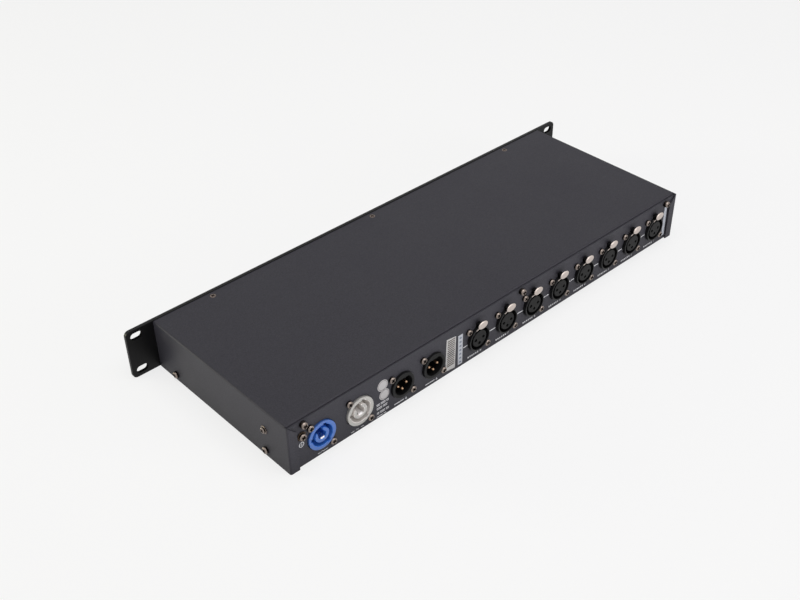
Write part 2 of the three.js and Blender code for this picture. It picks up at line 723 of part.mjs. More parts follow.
function buildPowerConnector() {
  const floorY = ringProtrusion - recessDepth;
  const hubFace = ringProtrusion - hubRecess;
  const frontY = ringProtrusion + overrun;
  const ring = rod('y', ringRadius, [connectorFlangeBackY, ringProtrusion], [0, 0], fineSides);
  const bodySpan = [-powerBodyWidth / 2, powerBodyWidth / 2];
  const body = box(bodySpan, [-powerBodyDepth, connectorFlangeBackY + clearance], bodySpan);
  const flangeX = [-powerFlangeWidth / 2, powerFlangeWidth / 2];
  const flangeZ = [-powerFlangeHeight / 2, powerFlangeHeight / 2];
  const flange = box(flangeX, [connectorFlangeBackY, connectorFlangeFrontY], flangeZ);
  const recess = joined([
    rod('y', recessRadius, [floorY, frontY], [0, 0], fineSides),
    ...powerKeyways([floorY, frontY]),
  ]);
  const hub = rod('y', hubRadius, [floorY - overrun, hubFace], [0, 0], fineSides);
  const bore = rod('y', hubBoreRadius, [floorY, frontY], [0, 0], fineSides);
  const hubSlot = box([0, hubRadius + overrun], [floorY, frontY], [-hubSlotWidth / 2, hubSlotWidth / 2])
    .rotate([0, -hubSlotAngleDegrees, 0]);
  const tabEnd = -powerBodyDepth - powerTabLength;
  const tabs = [-powerTabPitch, 0, powerTabPitch].map((z) => box([-powerTabWidth / 2, powerTabWidth / 2],
    [tabEnd, -powerBodyDepth + overrun], [z - powerTabThickness / 2, z + powerTabThickness / 2]));
  const seatHalfWidth = centreContactWidth / 2 + clearance;
  const seatHalfHeight = centreContactHeight / 2 + clearance;
  const contactSeat = box([-seatHalfWidth, seatHalfWidth],
    [-powerBodyDepth / 2 - recessDepth / 2, floorY + overrun],
    [-centreContactDrop - seatHalfHeight, seatHalfHeight - centreContactDrop]);
  const bowl = joined([ring, body, flange]).subtract(recess);
  const withHub = bowl.add(hub.subtract(bore).subtract(hubSlot));
  return joined([withHub.subtract(contactSeat), ...tabs,
    ...connectorFixings(powerScrewPlaces, -connectorFlangeBackY)]);
}

// The contact in the middle of a power connector, rounded below to follow the bore
function buildCentreContact() {
  const back = clearance - powerBodyDepth / 2 - recessDepth / 2;
  const front = ringProtrusion - centreContactRecess;
  const strip = box([-centreContactWidth / 2, centreContactWidth / 2], [back, front],
    [-centreContactDrop - centreContactHeight / 2, centreContactHeight / 2 - centreContactDrop]);
  return strip.intersect(rod('y', hubBoreRadius - clearance, [back, front], [0, 0], fineSides));
}

// Boards

function standing([x, y], [length, width, height], bottom) {
  return box([x - length / 2, x + length / 2], [y - width / 2, y + width / 2], [bottom, bottom + height]);
}

// Pillars under the corners of a board, down to the tray's floor
function boardPillars([x0, x1], [y0, y1]) {
  const places = [];
  for (const x of [x0 + pillarInset, x1 - pillarInset]) {
    for (const y of [y0 + pillarInset, y1 - pillarInset]) places.push([x, y]);
  }
  const heights = [floorTopZ + clearance, boardBottomZ + boardThickness / 2];
  return places.map((place) => rod('z', pillarRadius, heights, place, smallSides));
}

function buildMainBoard() {
  const seat = boardTopZ - boardThickness / 2;
  const chipY = mainBoardFrontY + componentRowFromEdge;
  const across = [mainBoardLeftX, mainBoardRightX];
  const along = [mainBoardFrontY, mainBoardRearY];
  const board = box(across, along, [boardBottomZ, boardTopZ]);
  const driverSize = [driverChipLength, driverChipWidth, driverChipHeight];
  const converterSize = [converterLength, converterWidth, converterHeight];
  const perChannel = [inputBX, inputAX, ...outputXs].flatMap((x) => [
    standing([x, chipY + converterBehindChips], driverSize, seat),
    standing([x, chipY + 2 * converterBehindChips], converterSize, seat),
  ]);
  const ribbonHeader = standing([headerX, mainBoardFrontY + headerWidth],
    [headerLength, headerWidth, headerHeight], seat);
  const supplyHeader = standing([mainBoardRightX - headerWidth, chipY],
    [headerWidth, headerLength, headerHeight], seat);
  return joined([board, ...boardPillars(across, along), ...perChannel, ribbonHeader, supplyHeader]);
}

function buildPowerSupply() {
  const seat = boardTopZ - boardThickness / 2;
  const middleX = (supplyLeftX + supplyRightX) / 2;
  const middleY = (supplyFrontY + supplyRearY) / 2;
  const across = [supplyLeftX, supplyRightX];
  const along = [supplyFrontY, supplyRearY];
  const board = box(across, along, [boardBottomZ, boardTopZ]);
  const transformer = standing([middleX, middleY],
    [transformerLength, transformerWidth, transformerHeight], seat);
  const capacitor = rod('z', capacitorRadius, [seat, seat + capacitorHeight],
    [supplyLeftX + supplyInset + capacitorRadius, supplyRearY - supplyInset - capacitorRadius], fineSides);
  const heatsink = standing([supplyLeftX + supplyInset, supplyFrontY + transformerWidth / 2 + supplyInset],
    [heatsinkThickness, transformerWidth, heatsinkHeight], seat);
  const terminals = standing([terminalX, terminalY],
    [terminalLength, terminalWidth, terminalHeight], seat);
  const outputHeader = standing([supplyLeftX + headerWidth, supplyHeaderY],
    [headerWidth, headerLength, headerHeight], seat);
  return joined([board, ...boardPillars(across, along), transformer, capacitor, heatsink, terminals,
    outputHeader]);
}

// The indicator board hangs on two pillars behind the front wall and reaches to the power lamp
function buildIndicatorBoard() {
  const xs = [...inputLampXs, ...outputLampXs, ...buttonXs];
  const span = [Math.min(...xs) - indicatorBoardMargin, Math.max(...xs) + indicatorBoardMargin];
  const boardY = [indicatorBoardY, indicatorBoardY + boardThickness];
  const boardZ = [lampRowZ - indicatorBoardHeight / 2, lampRowZ + indicatorBoardHeight / 2];
  const reach = [span[0], powerLampX + indicatorBoardMargin];
  const board = box(reach, boardY, boardZ);
  const lamps = lampXs.map((x) => rod('y', lampRadius,
    [-lampProtrusion, boardY[1] - boardThickness / 2], [x, lampRowZ], smallSides));
  const switches = buttonXs.map((x) => box([x - switchHalfWidth, x + switchHalfWidth],
    [indicatorBoardY - switchHeight, indicatorBoardY + boardThickness / 2],
    [lampRowZ - switchHalfWidth, lampRowZ + switchHalfWidth]));
  const header = box([headerX - headerLength / 2, headerX + headerLength / 2],
    [boardY[0] + boardThickness / 2, boardY[1] + headerHeight],
    [lampRowZ - headerWidth / 2, lampRowZ + headerWidth / 2]);
  const pillarY = [frontWallInnerY + clearance, boardY[1] - boardThickness / 2];
  const pillars = [span[0] + pillarInset, span[1] - pillarInset].map((x) => {
    return rod('y', pillarRadius, pillarY, [x, lampRowZ], smallSides);
  });
  return joined([board, ...lamps, ...switches, ...pillars, header]);
}

// A button cap with a collar behind the front wall that keeps it from falling out
function buildButton() {
  const collarFront = frontWallInnerY + clearance;
  const stemBack = indicatorBoardY - switchHeight - clearance - buttonTravel;
  return joined([
    rod('y', buttonRadius, [-buttonProtrusion, collarFront + buttonFlangeThickness], [0, 0], fineSides),
    rod('y', buttonFlangeRadius, [collarFront, collarFront + buttonFlangeThickness], [0, 0], fineSides),
    rod('y', buttonRadius / 2, [collarFront, stemBack], [0, 0]),
  ]);
}

// Leads

function wireAlong(points, radius, steps) {
  const route = new THREE.CatmullRomCurve3(points.map(([x, y, z]) => new THREE.Vector3(x, y, z)));
  const section = new THREE.Shape();
  for (let side = 0; side < wireSides; side += 1) {
    const angle = 2 * Math.PI * side / wireSides;
    const place = [radius * Math.cos(angle), radius * Math.sin(angle)];
    if (side) section.lineTo(...place);
    else section.moveTo(...place);
  }
  return toSolid(new THREE.ExtrudeGeometry(section, { steps, extrudePath: route, bevelEnabled: false }));
}

// From one tab of the inlet round to the same tab of the outlet
function buildLinkWire(level) {
  const z = connectorZ + level * powerTabPitch;
  const [from, to] = [powerInletX - wireSpread, powerOutletX + wireSpread];
  const turnY = powerTabEndY - wireLead;
  return wireAlong([
    [from, powerTabEndY, z],
    [from, turnY, z],
    [(from + to) / 2, powerTabEndY - linkReach, z],
    [to, turnY, z],
    [to, powerTabEndY, z],
  ], mainsWireRadius, wireSteps);
}

// From a tab of the inlet forward to the terminals of the power supply
function buildFeedWire(level, terminal) {
  const fromX = powerInletX + wireSpread;
  const fromZ = connectorZ + level * powerTabPitch;
  const toX = terminalX + terminal * terminalPitch / 2;
  const toY = supplyRearY + clearance;
  const toZ = boardTopZ + terminalHeight / 2;
  return wireAlong([
    [fromX, powerTabEndY, fromZ],
    [fromX, powerTabEndY - wireLead, fromZ],
    [toX, toY + wireLead, toZ],
    [toX, toY, toZ],
  ], mainsWireRadius, wireSteps);
}

// From the lowest tab of the inlet up to the earth screw on the rear wall
function buildEarthWire() {
  const fromX = powerInletX + wireSpread;
  const fromZ = connectorZ - powerTabPitch;
  const toY = rearWallOuterY - sheet - 3 * clearance - earthNutThickness;
  return wireAlong([
    [fromX, powerTabEndY, fromZ],
    [fromX + wireSpread, powerTabEndY - wireLead, fromZ],
    [earthScrewX, powerTabEndY - wireLead, (fromZ + earthScrewZ) / 2],
    [earthScrewX, powerTabEndY + wireLead, earthScrewZ],
    [earthScrewX, toY, earthScrewZ],
  ], mainsWireRadius, 2 * wireSteps);
}

function buildLowVoltageLead() {
  const fromX = supplyLeftX + headerWidth;
  const toX = mainBoardRightX - headerWidth;
  const startZ = boardTopZ - boardThickness / 2 + headerHeight + clearance;
  const topZ = startZ + lowVoltageRise;
  return wireAlong([
    [fromX, supplyHeaderY, startZ],
    [fromX, supplyHeaderY, (startZ + topZ) / 2],
    [(fromX + toX) / 2, supplyHeaderY, topZ],
    [toX, supplyHeaderY, (startZ + topZ) / 2],
    [toX, supplyHeaderY, startZ],
  ], lowVoltageRadius, wireSteps);
}

// The flat ribbon from the main board forward to the indicator board
function buildRibbon() {
  const half = ribbonThickness / 2;
  const startY = mainBoardFrontY + headerWidth;
  const startZ = boardTopZ - boardThickness / 2 + headerHeight + clearance;
  const endY = indicatorBoardY + boardThickness + headerHeight + clearance;
  const outline = outlineOf([
    [startY - half, startZ],
    [startY + half, startZ],
    [startY + half, lampRowZ + half],
    [endY, lampRowZ + half],
    [endY, lampRowZ - half],
    [startY - half, lampRowZ - half],
  ]);
  return pushedAlongX(outline, [headerX - ribbonWidth / 2, headerX + ribbonWidth / 2]);
}

// Materials

const powderBlack = new THREE.MeshStandardMaterial({ color: 0x424146, roughness: 0.55, metalness: 0.1 });
const panelBlack = new THREE.MeshStandardMaterial({ color: 0x151515, roughness: 0.5, metalness: 0.2 });
const screwMetal = new THREE.MeshStandardMaterial({ color: 0x9a8f88, roughness: 0.35, metalness: 0.9 });
const socketBlack = new THREE.MeshStandardMaterial({ color: 0x1c1c1e, roughness: 0.45, metalness: 0 });
const latchMetal = new THREE.MeshStandardMaterial({ color: 0xcfc4be, roughness: 0.3, metalness: 0.9 });
const goldPlate = new THREE.MeshStandardMaterial({ color: 0xd9b38a, roughness: 0.25, metalness: 1 });
const inletBlue = new THREE.MeshStandardMaterial({ color: 0x3f6bc4, roughness: 0.45, metalness: 0 });
const outletGrey = new THREE.MeshStandardMaterial({ color: 0xc4c4be, roughness: 0.5, metalness: 0 });
const contactSilver = new THREE.MeshStandardMaterial({ color: 0xd8d8e4, roughness: 0.3, metalness: 0.9 });
const boardGreen = new THREE.MeshStandardMaterial({ color: 0x1f5a34, roughness: 0.5, metalness: 0 });
const capDark = new THREE.MeshStandardMaterial({ color: 0x2b2b2d, roughness: 0.5, metalness: 0 });
const lineBrown = new THREE.MeshStandardMaterial({ color: 0x6b3f22, roughness: 0.5, metalness: 0 });
const neutralBlue = new THREE.MeshStandardMaterial({ color: 0x2f62b5, roughness: 0.5, metalness: 0 });
const earthGreen = new THREE.MeshStandardMaterial({ color: 0x5c8f2a, roughness: 0.5, metalness: 0 });
const leadRed = new THREE.MeshStandardMaterial({ color: 0xa02a24, roughness: 0.5, metalness: 0 });
const ribbonGrey = new THREE.MeshStandardMaterial({ color: 0x8f8f92, roughness: 0.5, metalness: 0 });

// Assembly

const splitter = new THREE.Group();
const unit = new THREE.Group();
unit.position.y = -originY;
splitter.add(unit);

function addPiece(name, solid, material, position = [0, 0, 0], rotation = [0, 0, 0], parent = unit) {
  const geometry = solid.isBufferGeometry ? solid : toGeometry(solid);
  const mesh = new THREE.Mesh(geometry, material);
  mesh.name = name;
  mesh.position.set(...position);
  mesh.rotation.set(...rotation);
  parent.add(mesh);
  return mesh;
}

function rearGroup(x) {
  const group = new THREE.Group();
  group.position.set(x, rearWallOuterY, connectorZ);
  unit.add(group);
  return group;
}

addPiece('top_cover', buildTopCover(), powderBlack);
addPiece('base_tray', buildBaseTray(), powderBlack);
addPiece('front_panel', buildFrontPanel(), panelBlack);

const outputSocket = toGeometry(buildOutputSocket());
const latch = toGeometry(buildLatch());
outputXs.forEach((x, index) => {
  const number = outputCount - index;
  const group = rearGroup(x);
  addPiece(`output_socket_${number}`, outputSocket, socketBlack, [0, 0, 0], [0, 0, 0], group);
  const pivot = [0, -pivotBehindWall, pivotAboveAxis];
  addPiece(`output_latch_${number}`, latch, latchMetal, pivot, [0, 0, 0], group);
});

const inputSocket = toGeometry(buildInputSocket());
const pin = toGeometry(buildPin());
[['a', inputAX], ['b', inputBX]].forEach(([letter, x]) => {
  const group = rearGroup(x);
  addPiece(`input_socket_${letter}`, inputSocket, socketBlack, [0, 0, 0], [0, 0, 0], group);
  contactPlaces().forEach(([pinX, pinZ], index) => {
    addPiece(`input_pin_${letter}${index + 1}`, pin, goldPlate, [pinX, 0, pinZ], [0, 0, 0], group);
  });
});

const powerConnector = toGeometry(buildPowerConnector());
const centreContact = toGeometry(buildCentreContact());
[['inlet', powerInletX, inletBlue], ['outlet', powerOutletX, outletGrey]].forEach(([kind, x, plastic]) => {
  const group = rearGroup(x);
  addPiece(`power_${kind}`, powerConnector, plastic, [0, 0, 0], [0, 0, 0], group);
  addPiece(`power_${kind}_contact`, centreContact, contactSilver, [0, 0, 0], [0, 0, 0], group);
});

addPiece('main_board', buildMainBoard(), boardGreen);
addPiece('power_supply', buildPowerSupply(), boardGreen);
addPiece('indicator_board', buildIndicatorBoard(), boardGreen);

const button = toGeometry(buildButton());
buttonXs.forEach((x, index) => addPiece(`select_button_${index + 1}`, button, capDark, [x, 0, lampRowZ]));

addPiece('line_link_wire', buildLinkWire(1), lineBrown);
addPiece('neutral_link_wire', buildLinkWire(0), neutralBlue);
addPiece('earth_link_wire', buildLinkWire(-1), earthGreen);
addPiece('line_feed_wire', buildFeedWire(1, 1), lineBrown);
addPiece('neutral_feed_wire', buildFeedWire(0, -1), neutralBlue);
addPiece('earth_wire', buildEarthWire(), earthGreen);
addPiece('low_voltage_lead', buildLowVoltageLead(), leadRed);
addPiece('ribbon_lead', buildRibbon(), ribbonGrey);

const sideScrewSolid = panHeadScrew(screwHeadRadius, screwHeadHeight, screwShankRadius, screwLength);
const rearScrewSolid = panHeadScrew(screwHeadRadius, rearHeadHeight, screwShankRadius, screwLength);
const sideScrew = toGeometry(sideScrewSolid);
const rearScrew = toGeometry(rearScrewSolid);
const flushScrew = toGeometry(sunkenScrew());
addPiece('earth_screw', earthScrew(), screwMetal, [earthScrewX, rearWallOuterY, earthScrewZ]);
rearScrewXs.forEach((x, index) => {
  addPiece(`rear_screw_${index + 1}`, rearScrew, screwMetal, [x, rearWallOuterY, rearScrewZ]);
});
topScrewXs.forEach((x, index) => {
  const position = [x, topScrewY, caseHeight];
  addPiece(`top_screw_${index + 1}`, flushScrew, screwMetal, position, [Math.PI / 2, 0, 0]);
});
[['left', 1], ['right', -1]].forEach(([side, sign]) => {
  sideScrewPlaces.forEach(([y, z], index) => {
    const name = `side_screw_${side}_${index + 1}`;
    addPiece(name, sideScrew, screwMetal, [sign * halfCase, y, z], [0, 0, -sign * Math.PI / 2]);
  });
});
[['left', 1], ['right', -1]].forEach(([side, sign]) => {
  const position = [sign * frontScrewX, 0, panelMiddleZ];
  addPiece(`front_screw_${side}`, flushScrew, screwMetal, position, [Math.PI, 0, 0]);
});

export default splitter;
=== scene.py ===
import math
import random

import bmesh
import bpy
from bpy.props import FloatProperty, FloatVectorProperty, IntProperty, PointerProperty
from bpy.types import Operator, Panel, PropertyGroup
from mathutils import Matrix, Quaternion, Vector
from mathutils.geometry import tessellate_polygon


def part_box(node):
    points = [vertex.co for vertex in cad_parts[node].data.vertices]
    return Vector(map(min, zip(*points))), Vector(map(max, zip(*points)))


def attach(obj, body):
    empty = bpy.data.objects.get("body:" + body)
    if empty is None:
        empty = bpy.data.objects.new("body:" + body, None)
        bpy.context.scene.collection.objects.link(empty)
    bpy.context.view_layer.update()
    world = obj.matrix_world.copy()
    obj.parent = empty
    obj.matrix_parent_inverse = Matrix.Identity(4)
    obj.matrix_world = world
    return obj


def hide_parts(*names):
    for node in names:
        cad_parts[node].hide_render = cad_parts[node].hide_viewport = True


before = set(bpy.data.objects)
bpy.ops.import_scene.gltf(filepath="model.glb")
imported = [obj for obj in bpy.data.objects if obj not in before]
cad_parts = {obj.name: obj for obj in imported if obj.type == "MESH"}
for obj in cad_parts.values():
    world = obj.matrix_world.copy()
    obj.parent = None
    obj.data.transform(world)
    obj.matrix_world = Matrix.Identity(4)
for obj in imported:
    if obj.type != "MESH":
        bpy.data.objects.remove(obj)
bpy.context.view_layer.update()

bl_info = {
    "name": "Lighting signal splitter",
    "version": (1, 0, 0),
    "blender": (4, 5, 0),
    "location": "View3D > Sidebar > Splitter",
    "description": "Dresses a rack-mount lighting signal splitter: connectors, screws, finishes",
    "category": "Object",
}

MM = 0.001
PER_METRE = 1000.0

# Places that come from the frame: the outer faces of the case and the panel, and the height of
# the connector axes
REAR_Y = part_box("base_tray")[1][1]
CASE_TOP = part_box("top_cover")[1][2]
CASE_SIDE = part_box("top_cover")[1][0]
PANEL_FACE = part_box("front_panel")[0][1]
AXIS_Z = (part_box("power_inlet")[0][2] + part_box("power_inlet")[1][2]) / 2

# The connectors, in the order in which they are made
OUTPUTS = range(8, 0, -1)
LETTERS = "ba"
POWERS = ("inlet", "outlet")

# Directions across a face, up it and out of it; rear_print runs across as it is read from behind
AXES = {
    "rear": ((1, 0, 0), (0, 0, 1), (0, 1, 0)),
    "rear_print": ((-1, 0, 0), (0, 0, 1), (0, 1, 0)),
    "front": ((1, 0, 0), (0, 0, 1), (0, -1, 0)),
    "top": ((1, 0, 0), (0, 1, 0), (0, 0, 1)),
    "left": ((0, 1, 0), (0, 0, 1), (1, 0, 0)),
    "right": ((0, 1, 0), (0, 0, 1), (-1, 0, 0)),
}


def middle(node):
    """Middle of a node's box, in metres."""
    low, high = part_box(node)
    return [(a + b) / 2 for a, b in zip(low, high)]


def linear(code):
    """An sRGB hex colour as linear red, green and blue."""
    values = [int(code[i:i + 2], 16) / 255 for i in (0, 2, 4)]
    return tuple(v / 12.92 if v <= 0.04045 else ((v + 0.055) / 1.055) ** 2.4 for v in values)


def length(name, description, millimetres):
    """A length that the sidebar shows with its unit."""
    return FloatProperty(name=name, description=description, default=millimetres * MM,
                         min=0.0, unit="LENGTH", precision=5)


def amount(name, description, value):
    """A plain number, such as a lamp's power."""
    return FloatProperty(name=name, description=description, default=value, min=0.0)


def rotation(name, description, degrees):
    """An angle that the sidebar shows in degrees."""
    return FloatProperty(name=name, description=description, default=math.radians(degrees),
                         unit="ROTATION")


def colour(name, description, code):
    """A colour that the sidebar shows as a swatch."""
    return FloatVectorProperty(name=name, description=description, default=linear(code),
                               min=0.0, max=1.0, size=3, subtype="COLOR")


def mm(value):
    """A length from the sidebar as millimetres, the unit of every outline."""
    return value / MM


# Outlines, in millimetres

def circle(radius, sides=48, centre=(0.0, 0.0)):
    """A round outline."""
    steps = [math.tau * k / sides for k in range(sides)]
    return [(centre[0] + radius * math.cos(t), centre[1] + radius * math.sin(t)) for t in steps]


def arc(radius, start, end, steps):
    """Points of an arc between two angles in degrees."""
    angles = [math.radians(start + (end - start) * k / steps) for k in range(steps + 1)]
    return [(radius * math.cos(t), radius * math.sin(t)) for t in angles]


def rounded(width, height, radius, centre=(0.0, 0.0), segments=6):
    """A rectangle with round corners."""
    points = []
    for corner, (sx, sy) in enumerate(((1, 1), (-1, 1), (-1, -1), (1, -1))):
        at = (centre[0] + sx * (width / 2 - radius), centre[1] + sy * (height / 2 - radius))
        points += moved(arc(radius, 90 * corner, 90 * corner + 90, segments), *at)
    return points


def half_angle(width, radius):
    """Half the angle in degrees that a width takes up on a circle."""
    return math.degrees(math.asin(width / 2 / radius))


def keyed(radius, notches, width, depth):
    """A circle with square notches outwards at the given angles."""
    sides = 72
    outer = math.hypot(radius + depth, width / 2)
    half, outer_half = half_angle(width, radius), half_angle(width, outer)
    points = []
    marks = sorted(angle % 360 for angle in notches)
    for mark, following in zip(marks, marks[1:] + [marks[0] + 360]):
        points += arc(outer, mark - outer_half, mark + outer_half, 2)
        span = following - mark - 2 * half
        points += arc(radius, mark + half, following - half, max(2, round(sides * span / 360)))
    return points


def gapped_ring(outer, inner, gap, angle=90.0):
    """A ring with a straight-sided gap at an angle."""
    steps = 56
    outer_half, inner_half = half_angle(gap, outer), half_angle(gap, inner)
    return (arc(outer, angle + outer_half, angle + 360 - outer_half, steps)
            + arc(inner, angle + 360 - inner_half, angle + inner_half, steps))


def gapped_block(width, top, bottom, bore, gap):
    """A rectangle with a round bore that is open at the top."""
    half = half_angle(gap, bore)
    outside = [(-gap / 2, top), (-width / 2, top), (-width / 2, bottom), (width / 2, bottom),
               (width / 2, top), (gap / 2, top)]
    return outside + arc(bore, 450 - half, 90 + half, 40)


def cross(reach, half_width):
    """The outline of a cross recess."""
    r, w = reach, half_width
    return [(r, -w), (r, w), (w, w), (w, r), (-w, r), (-w, w), (-r, w), (-r, -w), (-w, -w),
            (-w, -r), (w, -r), (w, -w)]


def toothed(outer, root):
    """The rim of a serrated washer."""
    teeth = 14
    points = []
    for k in range(teeth):
        for share, radius in ((0.0, root), (0.2, outer), (0.5, outer), (0.7, root)):
            t = math.tau * k / teeth + share * (math.tau / teeth)
            points.append((radius * math.cos(t), radius * math.sin(t)))
    return points


def socket_cavity(radius, flat, ribs, rib_width, rib_height):
    """A round cavity with a flat along its top, and ribs that stand in from the flat."""
    reach = math.degrees(math.asin(flat / radius))
    points = arc(radius, 180 - reach, 360 + reach, 44)
    for rib in sorted(ribs, reverse=True):
        right, left = rib + rib_width / 2, rib - rib_width / 2
        points += [(right, flat), (right, flat - rib_height), (left, flat - rib_height),
                   (left, flat)]
    return points


def moved(outline, across, up):
    """An outline at another place."""
    return [(a + across, b + up) for a, b in outline]


def turned(outline, angle):
    """An outline turned about its middle by an angle in radians."""
    c, s = math.cos(angle), math.sin(angle)
    return [(a * c - b * s, a * s + b * c) for a, b in outline]


def inset(outline, by):
    """The outline drawn in by some millimetres, or out where they are negative."""
    if abs(by) < 1e-9:
        return outline
    pairs = list(zip(outline, outline[1:] + outline[:1]))
    turn = 1 if sum(a[0] * b[1] - b[0] * a[1] for a, b in pairs) > 0 else -1
    normals = []
    for a, b in pairs:
        size = math.hypot(b[0] - a[0], b[1] - a[1]) or 1.0
        normals.append((-turn * (b[1] - a[1]) / size, turn * (b[0] - a[0]) / size))
    drawn = []
    for index, point in enumerate(outline):
        first, second = normals[index - 1], normals[index]
        # The lower limit keeps very sharp corners from running away
        share = by / max(1 + first[0] * second[0] + first[1] * second[1], 0.35)
        drawn.append((point[0] + (first[0] + second[0]) * share,
                      point[1] + (first[1] + second[1]) * share))
    return drawn


# Bodies from outlines

def seat(face, place):
    """Turns millimetres across, up and out of a face at a place into the part's frame."""
    turn = Matrix(AXES[face]).transposed().to_4x4()
    return Matrix.Translation(place) @ turn @ Matrix.Scale(MM, 4)


def ring(form, at, outline, level):
    """Vertices of an outline at an inset and a depth."""
    drawn = inset(outline, level[0])
    return [form.verts.new(at @ Vector((a, b, level[1]))) for a, b in drawn]


def band(form, first, second, finish):
    """Side faces between two outlines."""
    for k in range(len(first)):
        face = form.faces.new((first[k - 1], first[k], second[k], second[k - 1]))
        face.material_index = finish


def cap(form, rings, finish):
    """A flat face that fills the first outline and leaves out the others."""
    flat = [vertex for loop in rings for vertex in loop]
    # Filled in millimetres, which keeps very small outlines clear of rounding
    loops = [[vertex.co * PER_METRE for vertex in loop] for loop in rings]
    for corners in tessellate_polygon(loops):
        face = form.faces.new([flat[k] for k in corners])
        face.material_index = finish


def body(form, at, outline, levels, holes=(), finish=0, face_finish=None):
    """A closed body: an outline carried through (inset, depth) levels from back to front.

    Each hole is (outline, levels from the front inwards, goes through, finish)."""
    face_finish = finish if face_finish is None else face_finish
    rings = [ring(form, at, outline, level) for level in levels]
    for lower, upper in zip(rings, rings[1:]):
        band(form, lower, upper, finish)
    front, back = [rings[-1]], [rings[0]]
    for hole, hole_levels, through, hole_finish in holes:
        walls = [ring(form, at, hole, level) for level in hole_levels]
        for upper, lower in zip(walls, walls[1:]):
            band(form, upper, lower, hole_finish)
        front.append(walls[0])
        if through:
            back.append(walls[-1])
        else:
            cap(form, [walls[-1]], hole_finish)
    cap(form, front, face_finish)
    cap(form, back, finish)


def made(form, name, finishes, rides, replaces=(), sharp=34.0):
    """Turns a form into a piece that rides on a body of the frame.

    Edges that bend by more than the sharp angle, in degrees, stay sharp."""
    bmesh.ops.recalc_face_normals(form, faces=form.faces)
    mesh = bpy.data.meshes.new(name)
    form.to_mesh(mesh)
    form.free()
    for finish in finishes:
        mesh.materials.append(bpy.data.materials[finish])
    mesh.polygons.foreach_set("use_smooth", [True] * len(mesh.polygons))
    mesh.set_sharp_from_angle(angle=math.radians(sharp))
    piece = bpy.data.objects.new(name, mesh)
    bpy.context.scene.collection.objects.link(piece)
    even = piece.modifiers.new("even_normals", "WEIGHTED_NORMAL")
    even.keep_sharp = True
    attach(piece, rides)
    if replaces:
        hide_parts(*replaces)
    return piece


# Finishes

# Nearly all values of a noise lie between these two
NOISE_RANGE = (0.3, 0.7)
WHITE = (1.0, 1.0, 1.0, 1.0)

# Width and height of the grain, in millimetres, where several finishes share them
MOULDED = {"grain": 0.4, "relief": 0.008}
SHELL_GRAIN = {"grain": 0.35, "relief": 0.01}
SATIN = {"grain": 0.3, "relief": 0.01}
PAPER = {"grain": 0.5, "relief": 0.004}


def add_node(tree, kind, settings=None, inputs=None):
    """Adds a node, sets its options, and fills or links its inputs."""
    node = tree.nodes.new(kind)
    for name, value in (settings or {}).items():
        setattr(node, name, value)
    for key, value in (inputs or {}).items():
        if isinstance(value, bpy.types.NodeSocket):
            tree.links.new(value, node.inputs[key])
        else:
            node.inputs[key].default_value = value
    return node


def new_finish(name, metallic, specular):
    """An empty material with a principled surface."""
    material = bpy.data.materials.new(name)
    material.use_nodes = True
    tree = material.node_tree
    tree.nodes.clear()
    surface = add_node(tree, "ShaderNodeBsdfPrincipled", None, {
        "Metallic": metallic, "Specular IOR Level": specular})
    add_node(tree, "ShaderNodeOutputMaterial", None, {"Surface": surface.outputs[0]})
    place = add_node(tree, "ShaderNodeTexCoord").outputs["Object"]
    return tree, surface, place


def tint(shade, factor):
    """A colour made lighter or darker, ready for a node's socket."""
    return tuple(min(1.0, channel * factor) for channel in shade) + (1.0,)


def dress(tree, surface, shades, share, patches, roughness, height, relief):
    """Links colour, gloss and relief to a surface.

    The colour runs between two shades with share, the roughness between its two values with
    patches, and height lifts the surface by relief, which is (strength, millimetres)."""
    mixed = add_node(tree, "ShaderNodeMix", {"data_type": "RGBA"}, {
        0: share, 6: shades[0], 7: shades[1]})
    gloss = add_node(tree, "ShaderNodeMapRange", None, {
        "Value": patches, "From Min": NOISE_RANGE[0], "From Max": NOISE_RANGE[1],
        "To Min": roughness[0], "To Max": roughness[1]})
    bump = add_node(tree, "ShaderNodeBump", None, {
        "Height": height, "Strength": relief[0], "Distance": relief[1] * MM})
    tree.links.new(mixed.outputs[2], surface.inputs["Base Color"])
    tree.links.new(gloss.outputs[0], surface.inputs["Roughness"])
    tree.links.new(bump.outputs[0], surface.inputs["Normal"])


def textured(name, shade, variation, patch, roughness, grain, relief, metallic=0.0,
             specular=0.5, speckle=0.0):
    """A surface with slow patches in its colour and gloss, and a fine grain that lifts it.

    variation is how far the colour strays to either side, patch and grain are the sizes of the
    two patterns and relief is the grain's height, all three in millimetres, and speckle is the
    grain's share in the colour."""
    tree, surface, place = new_finish(name, metallic, specular)
    slow = add_node(tree, "ShaderNodeTexNoise", None, {
        "Vector": place, "Scale": PER_METRE / patch, "Detail": 4.0, "Roughness": 0.6})
    fine = add_node(tree, "ShaderNodeTexNoise", None, {
        "Vector": place, "Scale": PER_METRE / grain, "Detail": 2.0, "Roughness": 0.5})
    share = add_node(tree, "ShaderNodeMix", {"data_type": "FLOAT"}, {
        0: speckle, 2: slow.outputs[0], 3: fine.outputs[0]})
    dress(tree, surface, (tint(shade, 1 - variation), tint(shade, 1 + variation)),
          share.outputs[0], slow.outputs[0], roughness, fine.outputs[0], (0.5, relief))
    return tree, surface, place


